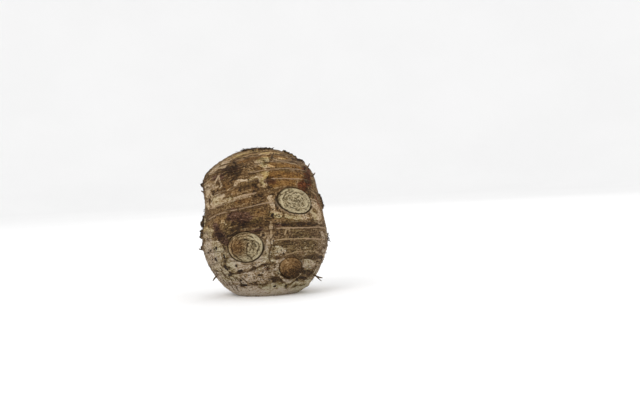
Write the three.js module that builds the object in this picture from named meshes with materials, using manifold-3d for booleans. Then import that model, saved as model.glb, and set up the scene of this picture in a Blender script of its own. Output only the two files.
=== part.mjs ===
// A taro corm, the swollen underground stem of the taro plant, trimmed flat at one end and
// standing on that cut. Millimetres, +Z up, the origin at the middle of the footprint, and
// the front towards -Y. A place on the skin is a turn about +Z, in degrees from the front
// towards +X, and a height above the cut. The corm grew as one piece, so it is one solid.
import * as THREE from "three";
import { mergeVertices } from "three/addons/utils/BufferGeometryUtils.js";
import Module from "manifold-3d";

// Driving dimensions.
const WIDTH = 87.5; // across the widest part of the barrel, side to side
const HEIGHT = 102;
const DEPTH_RATIO = 0.96; // front to back, as a share of the width
const CUT_RADIUS = 21.5; // of the flat cut that it stands on
const CROWN_LEAN = { by: -2.7, from: 58, to: 84 }; // sideways, and the heights it starts and ends at

// The outline from the rim of the cut to the tip of the crown, as shares of the half width
// and of the height: a steep trimmed flank, a barrel side, a shoulder and a low dome.
const OUTLINE = [
  [CUT_RADIUS / (WIDTH / 2), 0],
  [0.705, 0.074],
  [0.885, 0.19],
  [1, 0.32],
  [0.985, 0.46],
  [0.92, 0.63],
  [0.885, 0.78],
  [0.81, 0.84],
  [0.685, 0.89],
  [0.45, 0.95],
  [0.2, 0.988],
  [0, 1],
];

// Low lobes that run up the corm, since it isn't round: how many stand round it, how far
// they stand out as a share of the radius, how far they turn by the top, and where they start.
const WAIST_LOBES = { count: 2, out: 0.018, twist: 2.2, start: 0 }; // these fade at both ends
const LOBES = [
  { count: 3, out: 0.012, twist: -3.1, start: 0.9 },
  { count: 4, out: 0.007, twist: 5.3, start: 2 },
];

// Leaf-scar rings, from the cut up. low is the way up the skin from the rim of the cut at
// the back. The growing tip leans back, so each ring climbs by its own rise to RISE_TURN.
const RINGS = [
  { low: 14, rise: 2.4 },
  { low: 23, rise: 3.8 },
  { low: 30, rise: 6.6 },
  { low: 36.8, rise: 9.4 },
  { low: 46.5, rise: 8 },
  { low: 51.4, rise: 8.2 },
  { low: 56.7, rise: 17.3 },
  { low: 62.5, rise: 20 },
  { low: 71.5, rise: 17 },
  { low: 78, rise: 18.5 },
  { low: 85.9, rise: 18.9 },
  { low: 94.2, rise: 19.3 },
  { low: 103, rise: 16.5 },
  { low: 112, rise: 12 },
  { low: 121, rise: 7 },
];
const RISE_TURN = 27;
const RISE_SHARPNESS = 1.6; // 1 is a plain tilt, and more keeps the climb to the front
// Waves that make a ring stray up and down: waves to a turn, how far on the widest part, and
// how much each ring's waves are shifted from the ring's before.
const RING_WAVES = [
  { count: 3, by: 0.6, shift: 1.7 },
  { count: 7, by: 0.36, shift: 3.23 },
];
const RIDGE = 0.75; // how far a ring stands out of the skin
const RIDGE_HALF = 0.95; // half of a ring's width
const BAND_SWELL = 0.45; // how far the skin swells between two rings

// Round scars where side corms broke off, and low domes where one still sits in the skin.
// Turn and height place the middle, across and up are half sizes along the skin, tilt turns
// the oval clockwise, and dome is how far its middle stands out.
const EYES = [
  { turn: 34.4, height: 65, across: 14.6, up: 9, tilt: 4, dome: 0.8 },
  { turn: -17, height: 34.5, across: 13.4, up: 10.8, tilt: -4, dome: 0.6 },
  { turn: 25.5, height: 19.2, across: 9.9, up: 7.5, tilt: 37, dome: 2.6 },
  { turn: 108, height: 51, across: 12, up: 9.6, tilt: -8, dome: 1 },
  { turn: -104, height: 58, across: 12.6, up: 10, tilt: 14, dome: 0.7 },
  { turn: 176, height: 33, across: 13.4, up: 10.4, tilt: 6, dome: 0.9 },
  { turn: -146, height: 23, across: 8, up: 7.4, tilt: 0, dome: 2.4 },
  { turn: 124, height: 19, across: 8.4, up: 7.8, tilt: 0, dome: 1.6 },
  { turn: 152, height: 74, across: 9.4, up: 7.6, tilt: -16, dome: 1.2 },
];
// An eye's edge, as [share of its half size, height off the skin]: the root sunk into the
// corm, the rim, the groove and the lip of the disc.
const EYE_EDGE = [
  [0, -3],
  [1.2, -3],
  [1.2, -0.3],
  [1.1, 0.55],
  [1.03, -1.1],
  [0.94, -1.1],
  [0.88, 0.25],
];
const EYE_LIFT = 0.3; // of the disc's middle, before its dome
const EYE_SHOULDER = { out: 0.5, dome: 0.75 }; // halfway out, and its share of the dome
const EYE_POCKET = { reach: 1.09, floor: -1.6, top: 6 }; // cleared from the skin for the groove

// Dried rootlets that stand out of the skin: turn, height, length, and how far each bends
// sideways and up along its length.
const ROOTLETS = [
  { turn: 68, height: 12.5, length: 7, sweep: 2.2, lift: 1.5 },
  { turn: 63, height: 84, length: 4.5, sweep: 0.5, lift: 2.5 },
  { turn: 72, height: 80, length: 3.5, sweep: -0.5, lift: 2 },
  { turn: -88, height: 49, length: 3.5, sweep: 0.8, lift: 1.2 },
  { turn: -84, height: 39, length: 3.5, sweep: -0.8, lift: -1 },
  { turn: -80, height: 73, length: 3.2, sweep: 0.6, lift: 1 },
  { turn: -76, height: 15, length: 5, sweep: -1, lift: -2.5 },
  { turn: 24, height: 94, length: 4, sweep: 1.5, lift: 0.5 },
  { turn: 122, height: 66, length: 6, sweep: 2.5, lift: -1 },
  { turn: 139, height: 30, length: 6.5, sweep: -2.5, lift: 1.5 },
  { turn: 160, height: 56, length: 5, sweep: 1.5, lift: -1.5 },
  { turn: -126, height: 41, length: 6, sweep: 2, lift: 1.5 },
  { turn: -163, height: 68, length: 5.5, sweep: -2, lift: -1.5 },
  { turn: -170, height: 14, length: 5, sweep: 1.5, lift: 2 },
  { turn: -118, height: 83, length: 4.5, sweep: -1.5, lift: 1 },
];
const ROOTLET_ROOT = { radius: 0.95, sunk: 2.5 };
const ROOTLET_TIP_RADIUS = 0.4;

// How finely the surfaces are faceted.
const COLUMNS = 56;
const CROWN_ROWS = [0.5]; // between the last ring and the tip, as shares of the way
const CUT_ROWS = [0, 0.5]; // inside the rim of the cut, as shares of its radius
const EYE_SIDES = 16;
const ROOTLET_STEPS = 3;
const ROOTLET_CURVE_SEGMENTS = 2; // in each half of a rootlet's section

const degrees = THREE.MathUtils.degToRad;
const outline = new THREE.SplineCurve(
  OUTLINE.map(
    ([out, up]) => new THREE.Vector2((out * WIDTH) / 2, up * HEIGHT),
  ),
);
const outlineLength = outline.getLength();

// How far along the outline, in millimetres from the rim of the cut, a height is reached.
function wayUpTo(height) {
  let low = 0;
  let high = 1;
  for (let step = 0; step < 30; step++) {
    const middle = (low + high) / 2;
    if (outline.getPointAt(middle).y < height) low = middle;
    else high = middle;
  }
  return low * outlineLength;
}

// How far a lobe stands out, as a share of the radius.
function lobeOut(lobe, turn, up) {
  return lobe.out * Math.sin(lobe.count * turn + lobe.twist * up + lobe.start);
}

// The radius at a turn and a height, as a share of the outline's.
function fullness(turn, height) {
  const up = height / HEIGHT;
  const waist = lobeOut(WAIST_LOBES, turn, up) * Math.sin(Math.PI * up);
  return LOBES.reduce((sum, lobe) => sum + lobeOut(lobe, turn, up), 1 + waist);
}

// A point of the skin, at a turn in radians and a way up the outline, raised by lift.
function skinPoint(turn, way, lift) {
  const share = THREE.MathUtils.clamp(way / outlineLength, 0, 1);
  const at = outline.getPointAt(share);
  const along = outline.getTangentAt(share);
  const radius = at.x * fullness(turn, at.y) + along.y * lift;
  const height = at.y - along.x * lift;
  const lean =
    CROWN_LEAN.by *
    THREE.MathUtils.smoothstep(at.y, CROWN_LEAN.from, CROWN_LEAN.to);
  return new THREE.Vector3(
    lean + radius * Math.sin(turn),
    -radius * Math.cos(turn) * DEPTH_RATIO,
    height,
  );
}

// The way up the skin of a ring at a turn: its low side, a smooth rise and a wave.
function ringWay(ring, turn) {
  const facing = (1 + Math.cos(turn - degrees(RISE_TURN))) / 2;
  const way = ring.low + ring.rise * facing ** RISE_SHARPNESS;
  const girth = outline.getPointAt(way / outlineLength).x / (WIDTH / 2);
  const index = RINGS.indexOf(ring);
  return RING_WAVES.reduce(
    (sum, { count, by, shift }) =>
      sum + girth * by * Math.sin(count * turn + shift * index),
    way,
  );
}

// The rows of the skin at one turn, as [way up the outline, relief]: each ring is a ridge
// of three rows, and one row swells between it and the next.
function rowsAt(turn) {
  const crests = RINGS.map((ring) => ringWay(ring, turn));
  const rows = [[0, 0]];
  let below = 0;
  for (const crest of crests) {
    rows.push([(below + crest) / 2, BAND_SWELL]);
    rows.push([crest - RIDGE_HALF, 0]);
    rows.push([crest, RIDGE]);
    rows.push([crest + RIDGE_HALF, 0]);
    below = crest;
  }
  for (const share of CROWN_ROWS)
    rows.push([THREE.MathUtils.lerp(below, outlineLength, share), 0]);
  return rows;
}

// The skin: a lathe whose columns are moved onto the rings, lobes and lean. Its profile
// runs from the middle of the cut, out over the flat, and up the rows to the tip.
function skin() {
  const rowCount = rowsAt(0).length;
  const profile = [];
  for (let row = 0; row < CUT_ROWS.length + rowCount + 1; row++) {
    const onAxis = row === 0 || row === CUT_ROWS.length + rowCount;
    profile.push(new THREE.Vector2(onAxis ? 0 : 1, row));
  }
  const geometry = new THREE.LatheGeometry(profile, COLUMNS);
  const position = geometry.attributes.position;
  for (let column = 0; column <= COLUMNS; column++) {
    const turn = (2 * Math.PI * (column % COLUMNS)) / COLUMNS;
    const rows = rowsAt(turn);
    const rim = skinPoint(turn, 0, 0);
    const points = [
      ...CUT_ROWS.map((share) => rim.clone().multiplyScalar(share)),
      ...rows.map(([way, relief]) => skinPoint(turn, way, relief)),
      new THREE.Vector3(CROWN_LEAN.by, 0, HEIGHT),
    ];
    points.forEach((point, row) =>
      position.setXYZ(column * points.length + row, ...point),
    );
  }
  return geometry;
}

// A lathe round an eye's middle, laid on the skin: its radius is a share of the eye's half
// sizes, and its height is a height off the skin.
function onEye(eye, section) {
  const geometry = new THREE.LatheGeometry(
    section.map(([out, lift]) => new THREE.Vector2(out, lift)),
    EYE_SIDES,
  );
  const position = geometry.attributes.position;
  const middleWay = wayUpTo(eye.height);
  const radius = outline.getPointAt(middleWay / outlineLength).x;
  const tilt = degrees(eye.tilt);
  for (let i = 0; i < position.count; i++) {
    const across = position.getZ(i) * eye.across;
    const up = position.getX(i) * eye.up;
    const point = skinPoint(
      degrees(eye.turn) +
        (across * Math.cos(tilt) + up * Math.sin(tilt)) / radius,
      middleWay + up * Math.cos(tilt) - across * Math.sin(tilt),
      position.getY(i),
    );
    position.setXYZ(i, ...point);
  }
  return geometry;
}

function eyePocket(eye) {
  const { reach, floor, top } = EYE_POCKET;
  return onEye(eye, [
    [0, floor],
    [reach, floor],
    [reach, top],
    [0, top],
  ]);
}

function eyeDisc(eye) {
  return onEye(eye, [
    ...EYE_EDGE,
    [EYE_SHOULDER.out, EYE_LIFT + EYE_SHOULDER.dome * eye.dome],
    [0, EYE_LIFT + eye.dome],
  ]);
}

// A rootlet: a tapering tube with few sides along a bent line, sunk into the corm.
function rootlet({ turn, height, length, sweep, lift }) {
  const way = wayUpTo(height);
  const foot = skinPoint(degrees(turn), way, 0);
  const out = skinPoint(degrees(turn), way, 1).sub(foot).normalize();
  const side = new THREE.Vector3(0, 0, 1).cross(out).normalize();
  const path = new THREE.QuadraticBezierCurve3(
    foot.clone().addScaledVector(out, -ROOTLET_ROOT.sunk),
    foot.clone().addScaledVector(out, length * 0.5),
    foot
      .clone()
      .addScaledVector(out, length)
      .addScaledVector(side, sweep)
      .add(new THREE.Vector3(0, 0, lift)),
  );
  const section = new THREE.Shape().absarc(0, 0, ROOTLET_ROOT.radius, 0, 2 * Math.PI);
  const geometry = new THREE.ExtrudeGeometry(section, {
    steps: ROOTLET_STEPS,
    curveSegments: ROOTLET_CURVE_SEGMENTS,
    extrudePath: path,
  });
  const position = geometry.attributes.position;
  const slim = 1 - ROOTLET_TIP_RADIUS / ROOTLET_ROOT.radius;
  for (let i = 0; i < position.count; i++) {
    const point = new THREE.Vector3().fromBufferAttribute(position, i);
    const share = nearestShare(path, point);
    point.lerp(path.getPointAt(share), slim * share);
    position.setXYZ(i, ...point);
  }
  return geometry;
}

// How far along a rootlet's line a point of its tube belongs, as a share of its steps.
function nearestShare(path, point) {
  let best = 0;
  for (let step = 0; step <= ROOTLET_STEPS; step++) {
    const share = step / ROOTLET_STEPS;
    if (
      path.getPointAt(share).distanceTo(point) <
      path.getPointAt(best).distanceTo(point)
    )
      best = share;
  }
  return best;
}

const wasm = await Module();
wasm.setup();

// A closed geometry as a manifold-3d solid, with the vertices that share a place merged.
function solid(geometry) {
  geometry.deleteAttribute("normal");
  geometry.deleteAttribute("uv");
  const merged = mergeVertices(geometry, 1e-3);
  const made = new wasm.Manifold(
    new wasm.Mesh({
      numProp: 3,
      vertProperties: merged.attributes.position.array,
      triVerts: new Uint32Array(merged.index.array),
    }),
  );
  if (made.volume() < 0) throw new Error("a solid is inside out");
  return made;
}

function geometryOf(made) {
  const { vertProperties, triVerts } = made.getMesh();
  const geometry = new THREE.BufferGeometry();
  geometry.setAttribute(
    "position",
    new THREE.BufferAttribute(new Float32Array(vertProperties), 3),
  );
  geometry.setIndex(new THREE.BufferAttribute(triVerts, 1));
  geometry.computeVertexNormals();
  return geometry;
}

let body = solid(skin());
for (const eye of EYES)
  body = body.subtract(solid(eyePocket(eye))).add(solid(eyeDisc(eye)));
for (const root of ROOTLETS) body = body.add(solid(rootlet(root)));

const geometry = geometryOf(body);
geometry.computeBoundingBox();
const middle = geometry.boundingBox.getCenter(new THREE.Vector3());
geometry.translate(-middle.x, -middle.y, 0);

const corm = new THREE.Mesh(
  geometry,
  new THREE.MeshStandardMaterial({
    color: new THREE.Color(0.2, 0.145, 0.085),
    roughness: 0.85,
    metalness: 0,
  }),
);
corm.name = "corm";

const taro = new THREE.Group();
taro.add(corm);

export default taro;
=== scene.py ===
"""A taro corm with its skin, bud scars, dried rootlets, loose fibres and peeling husk.

A place on the skin is a turn about +Z, in degrees from the front towards +X, and a way up
the outline from the rim of the cut. Lengths in the formulas are millimetres, and a mesh is
scaled to metres when it is made. A ring coordinate counts the leaf-scar rings up the corm:
3.5 is halfway between the third ring and the fourth, whatever the turn.
"""

import functools
import math
from types import SimpleNamespace

import bpy
import numpy as np
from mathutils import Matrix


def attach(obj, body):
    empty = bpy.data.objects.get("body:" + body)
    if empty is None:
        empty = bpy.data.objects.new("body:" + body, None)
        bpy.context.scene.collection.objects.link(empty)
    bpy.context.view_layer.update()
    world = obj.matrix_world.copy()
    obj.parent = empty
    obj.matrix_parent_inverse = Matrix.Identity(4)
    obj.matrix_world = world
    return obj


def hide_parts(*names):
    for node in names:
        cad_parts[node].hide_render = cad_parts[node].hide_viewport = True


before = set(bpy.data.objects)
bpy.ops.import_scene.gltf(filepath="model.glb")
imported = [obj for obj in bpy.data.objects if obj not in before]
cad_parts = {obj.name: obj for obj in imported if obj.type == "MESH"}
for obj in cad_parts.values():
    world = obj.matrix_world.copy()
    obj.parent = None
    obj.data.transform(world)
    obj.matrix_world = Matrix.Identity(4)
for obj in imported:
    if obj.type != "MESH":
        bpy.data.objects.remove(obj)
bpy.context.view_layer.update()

bl_info = {
    "name": "Taro Corm",
    "version": (1, 0, 0),
    "blender": (4, 5, 0),
    "location": "View3D > Sidebar > Taro",
    "description": "Grows the skin, scars, rootlets and fibres of a taro corm",
    "category": "Add Mesh",
}

MM = 0.001

# The outline from the rim of the cut to the tip, as shares of the half width and height.
OUTLINE = (
    (0.4914, 0.0),
    (0.705, 0.074),
    (0.885, 0.19),
    (1.0, 0.32),
    (0.985, 0.46),
    (0.92, 0.63),
    (0.885, 0.78),
    (0.81, 0.84),
    (0.685, 0.89),
    (0.45, 0.95),
    (0.2, 0.988),
    (0.0, 1.0),
)

# Leaf-scar rings: the way up the skin at the back, and the climb towards RISE_TURN.
RINGS = (
    (14.0, 2.4),
    (23.0, 3.8),
    (30.0, 6.6),
    (36.8, 9.4),
    (46.5, 8.0),
    (51.4, 8.2),
    (56.7, 17.3),
    (62.5, 20.0),
    (71.5, 17.0),
    (78.0, 18.5),
    (85.9, 18.9),
    (94.2, 19.3),
    (103.0, 16.5),
    (112.0, 12.0),
    (121.0, 7.0),
)
RISE_TURN = 27.0
RISE_SHARPNESS = 1.6
DIP_OUT, DIP_IN = 15.0, 3.0  # radii over which the crown's dip sets in
LEAN_FROM, LEAN_TO = 58.0, 84.0  # heights over which the crown moves sideways

# The skin's grid, in millimetres: the first row over the rim and the close rows on a crest,
# and how far the even rows keep from the rim, from a crest and from the tip.
RIM_ROW, CREST_ROW = 0.25, 0.38
RIM_GAP, CREST_GAP, TIP_GAP = 0.6, 0.8, 0.5

# The cut: rows of the skin's grid on it, as shares of the way out, and its roughness.
CUT_SHARES = (0.05, 0.12, 0.2, 0.29, 0.38, 0.48, 0.58, 0.68, 0.78, 0.87, 0.94, 0.985)
CUT_ROUGHNESS = 0.22
TIP_LIFT = 0.3

# Bud scars: turn, height, half size across and up, tilt, dome, and how brown the disc is.
SCARS = (
    (35.4, 64.8, 13.9, 9.2, 8.0, 0.8, 0.0),
    (-17.0, 35.3, 13.4, 10.7, -4.0, 0.6, 0.45),
    (26.5, 19.6, 9.2, 7.7, 37.0, 2.6, 1.0),
    (108.0, 51.0, 12.0, 9.6, -8.0, 1.0, 0.3),
    (-104.0, 58.0, 12.6, 10.0, 14.0, 0.7, 0.25),
    (176.0, 33.0, 13.4, 10.4, 6.0, 0.9, 0.3),
    (-146.0, 23.0, 8.0, 7.4, 0.0, 2.4, 0.9),
    (124.0, 19.0, 8.4, 7.8, 0.0, 1.6, 0.7),
    (152.0, 74.0, 9.4, 7.6, -16.0, 1.2, 0.65),
)
# A scar's section, as share of its half size and lift off the skin, from its middle out.
SCAR_SECTION = (
    (0.5, 0.3),
    (0.88, 0.3),
    (0.94, 0.15),
    (0.965, -0.8),
    (0.99, -0.8),
    (1.02, 0.35),
    (1.07, 0.5),
    (1.13, 0.35),
    (1.3, -1.2),
)
SCAR_UNDERSIDE = -3.0
SCAR_COLUMNS = 128
SCAR_WAVE = 0.025  # how far a scar's outline wanders, as a share of its size
BUD_DOME = 1.5  # a scar with a higher dome is a bud, which has no step or lip
FAR_OUT = 9.0  # a share of a scar's size that is far off it
FIBRES_CLEAR, FLAKES_CLEAR = 1.45, 1.9  # shares that fibres and flakes keep outside

# Rootlets: turn, height, length, and how far each bends sideways and up.
ROOTLETS = (
    (68.0, 12.5, 7.0, 2.2, 1.5),
    (63.0, 84.0, 4.5, 0.5, 2.5),
    (72.0, 80.0, 3.5, -0.5, 2.0),
    (-86.0, 33.0, 3.2, 0.8, 1.2),
    (-80.0, 73.0, 2.2, 0.6, 1.0),
    (-74.0, 15.0, 3.4, -0.6, -1.6),
    (24.0, 94.0, 4.0, 1.5, 0.5),
    (122.0, 66.0, 6.0, 2.5, -1.0),
    (139.0, 30.0, 6.5, -2.5, 1.5),
    (160.0, 56.0, 5.0, 1.5, -1.5),
    (-126.0, 41.0, 6.0, 2.0, 1.5),
    (-163.0, 68.0, 5.5, -2.0, -1.5),
    (-170.0, 14.0, 5.0, 1.5, 2.0),
    (-118.0, 83.0, 4.5, -1.5, 1.0),
)

ROOTLET_SUNK = 2.5  # depth of a rootlet's foot in the skin
ROOTLET_FOOT, ROOTLET_TAPER = 0.95, 0.6  # radius at the foot, and what it loses by the tip
FORK_AT, FORK_BEND = 5, (0.2, -0.6, -2.4)  # step the fork leaves at, and where its tip goes

# Strokes over the skin: half width in millimetres, strength, and the places that the stroke
# runs through, as turn and ring coordinate. These are on the front, and seeded ones cover
# the sides and the back.
BARE_CORK = (
    (2.2, 0.6, (10, 12.4), (12, 11.9)),
    (1.5, 0.9, (15, 11.8), (17, 11.1)),
    (1.4, 1.0, (4, 10.8), (10, 10.4), (17, 10.4)),
    (1.2, 0.8, (9, 10.2), (9, 9.8)),
    (1.8, 0.8, (3, 9.4), (5, 9.6), (10, 9.6), (5, 9.1)),
    (1.5, 1.0, (7, 8.9), (8, 8.55)),
    (0.7, 1.0, (1, 9.35), (-7, 9.35), (-15, 9.45)),
    (1.0, 1.0, (-15, 9.45), (-20, 9.5), (-23, 9.2)),
    (0.6, 0.9, (-34, 9.1), (-26, 9.0)),
    (2.4, 0.9, (-66, 10.0), (-58, 10.1), (-51, 9.9)),
    (2.4, 0.9, (-66, 9.5), (-58, 9.3), (-52, 8.6)),
    (1.7, 1.0, (-68, 11.8), (-55, 12.1), (-43, 13.2), (-36, 13.8), (-25, 13.8)),
    (2.4, 1.0, (-57, 8.5), (-50, 8.8), (-42, 8.8)),
    (1.5, 1.0, (-46, 8.7), (-36, 8.7)),
    (1.0, 0.9, (-63, 9.2), (-64, 8.6), (-66, 8.3)),
    (2.0, 0.7, (-72, 8.8), (-64, 8.2)),
    (1.6, 0.95, (-50, 8.25), (-41, 8.1), (-31, 8.05), (-21, 7.95), (-11, 7.85)),
    (0.7, 1.0, (-7, 7.9), (-3, 7.7)),
    (1.3, 0.8, (9, 7.35), (13, 7.4), (12, 6.9)),
    (2.2, 0.5, (10, 6.5), (16, 6.3)),
    (1.8, 0.6, (24, 6.25), (32, 6.15), (46, 6.2)),
    (2.2, 0.8, (-68, 6.2), (-59, 6.1)),
    (1.4, 0.9, (-40, 6.5), (-36, 6.3)),
    (2.4, 0.9, (55, 6.8), (68, 6.7), (66, 6.2), (54, 6.2)),
    (2.4, 1.0, (16, 12.6), (40, 12.3)),
    (3.0, 1.0, (80, 4.7), (87, 4.1), (86, 3.3), (84, 2.9)),
    (2.6, 1.0, (-62, 11.4), (-54, 11.9), (-44, 11.9)),
    (1.5, 1.0, (-64, 13.9), (-44, 14.1), (-20, 14.0), (10, 13.7), (34, 13.1), (52, 12.5)),
    (0.9, 0.8, (15, 10.5), (22, 10.3)),
    (1.8, 1.0, (3, 11.2), (9, 11.0)),
    (2.4, 1.0, (-54, 2.4), (-46, 2.15), (-43, 1.9)),
    (2.6, 1.0, (-50, 4.2), (-43, 4.1), (-42, 3.6)),
    (1.5, 1.0, (8, 5.5), (8, 5.1)),
    (1.4, 0.8, (24, 12.3), (30, 12.1)),
    (1.6, 1.0, (-29, 3.1), (-25, 3.05)),
    (2.0, 0.6, (-64, 1.1), (-59, 0.8)),
    (1.6, 0.6, (-40, 1.15), (-36, 1.1)),
    (1.6, 0.8, (-62, 9.8), (-58, 9.8)),
    (1.4, 0.5, (39, 11.4), (45, 11.35)),
    (1.6, 0.9, (-3, 2.15), (0, 2.05)),
    (1.2, 0.8, (3, 8.5), (7, 8.4)),
    (1.8, 0.9, (-56, 8.2), (-52, 8.0)),
    (2.4, 0.8, (-62, 0.9), (-50, 0.7)),
    (2.0, 0.7, (-2, 0.6), (8, 0.5)),
    (1.2, 0.8, (-40, 8.15), (-33, 7.95)),
    (3.6, 1.0, (-76, 6.1), (-66, 5.3), (-60, 4.7)),
    (2.2, 1.0, (-64, 6.3), (-57, 5.7), (-55, 5.0)),
    (2.2, 0.9, (-54, 4.7), (-47, 4.5), (-43, 4.4)),
    (1.6, 0.5, (-57, 6.2), (-53, 6.05)),
    (2.2, 0.8, (62, 4.5), (67, 4.2)),
    (2.2, 1.0, (-82, 7.4), (-76, 7.0)),
    (1.6, 0.9, (46, 6.6), (52, 6.4)),
    (2.0, 1.0, (-60, 12.7), (-50, 12.6)),
    (1.4, 1.0, (10, 7.0), (11, 6.7)),
    (5.0, 0.3, (-40, 13.4), (0, 13.2), (50, 12.5)),
    (1.6, 1.0, (-46, 13.7), (-30, 13.95)),
    (4.6, 1.0, (-69, 4.3), (-56, 4.2), (-48, 3.8), (-48, 3.2)),
    (3.5, 0.9, (-66, 3.3), (-54, 2.8)),
    (2.7, 1.0, (-34, 2.8), (-28, 2.5), (-16, 2.4)),
    (2.2, 1.0, (5, 4.5), (5, 3.9), (2, 3.2), (-7, 2.7)),
    (2.2, 0.75, (9, 3.3), (14, 3.6), (18, 3.4)),
    (2.8, 1.0, (-22, 1.6), (-11, 1.7)),
    (1.6, 1.0, (42, 2.5), (50, 2.3), (46, 1.9), (42, 2.2)),
    (3.4, 1.0, (-50, 0.3), (-20, 0.3), (14, 0.35), (61, 0.3)),
    (2.2, 0.35, (12, 0.9), (66, 0.8)),
    (3.6, 1.0, (-72, 2.0), (-64, 1.4), (-50, 0.9), (-38, 1.1)),
)
BROWN_HUSK = (
    (3.0, 1.0, (-52, 7.5), (-26, 7.4), (-4, 7.4)),
    (4.2, 1.0, (-34, 6.5), (-14, 6.7), (3, 6.7)),
    (3.2, 0.9, (15, 4.4), (60, 4.4)),
    (2.6, 0.9, (15, 3.9), (58, 3.5)),
    (2.6, 0.7, (42, 1.4), (60, 1.6)),
    (2.2, 1.0, (24, 2.95), (60, 2.75)),
    (2.0, 1.0, (23, 3.45), (62, 3.2)),
    (1.0, 0.7, (12, 1.4), (17, 1.0), (24, 0.8), (32, 0.8), (38, 1.0)),
    (1.8, 0.9, (-4, 8.9), (1, 8.6)),
    (1.6, 1.0, (11, 2.9), (20, 3.05), (25, 3.25)),
    (1.6, 0.9, (60, 2.9), (70, 2.6)),
    (1.6, 1.0, (-22, 9.0), (-15, 9.1), (-9, 8.9), (0, 9.0)),
    (2.4, 1.0, (-17, 8.8), (-10, 8.4), (-4, 8.3), (3, 8.4)),
    (2.2, 0.9, (-36, 9.7), (-30, 8.7), (-24, 8.6)),
    (3.0, 0.6, (-34, 9.8), (-20, 9.8), (-4, 9.9)),
)
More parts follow.
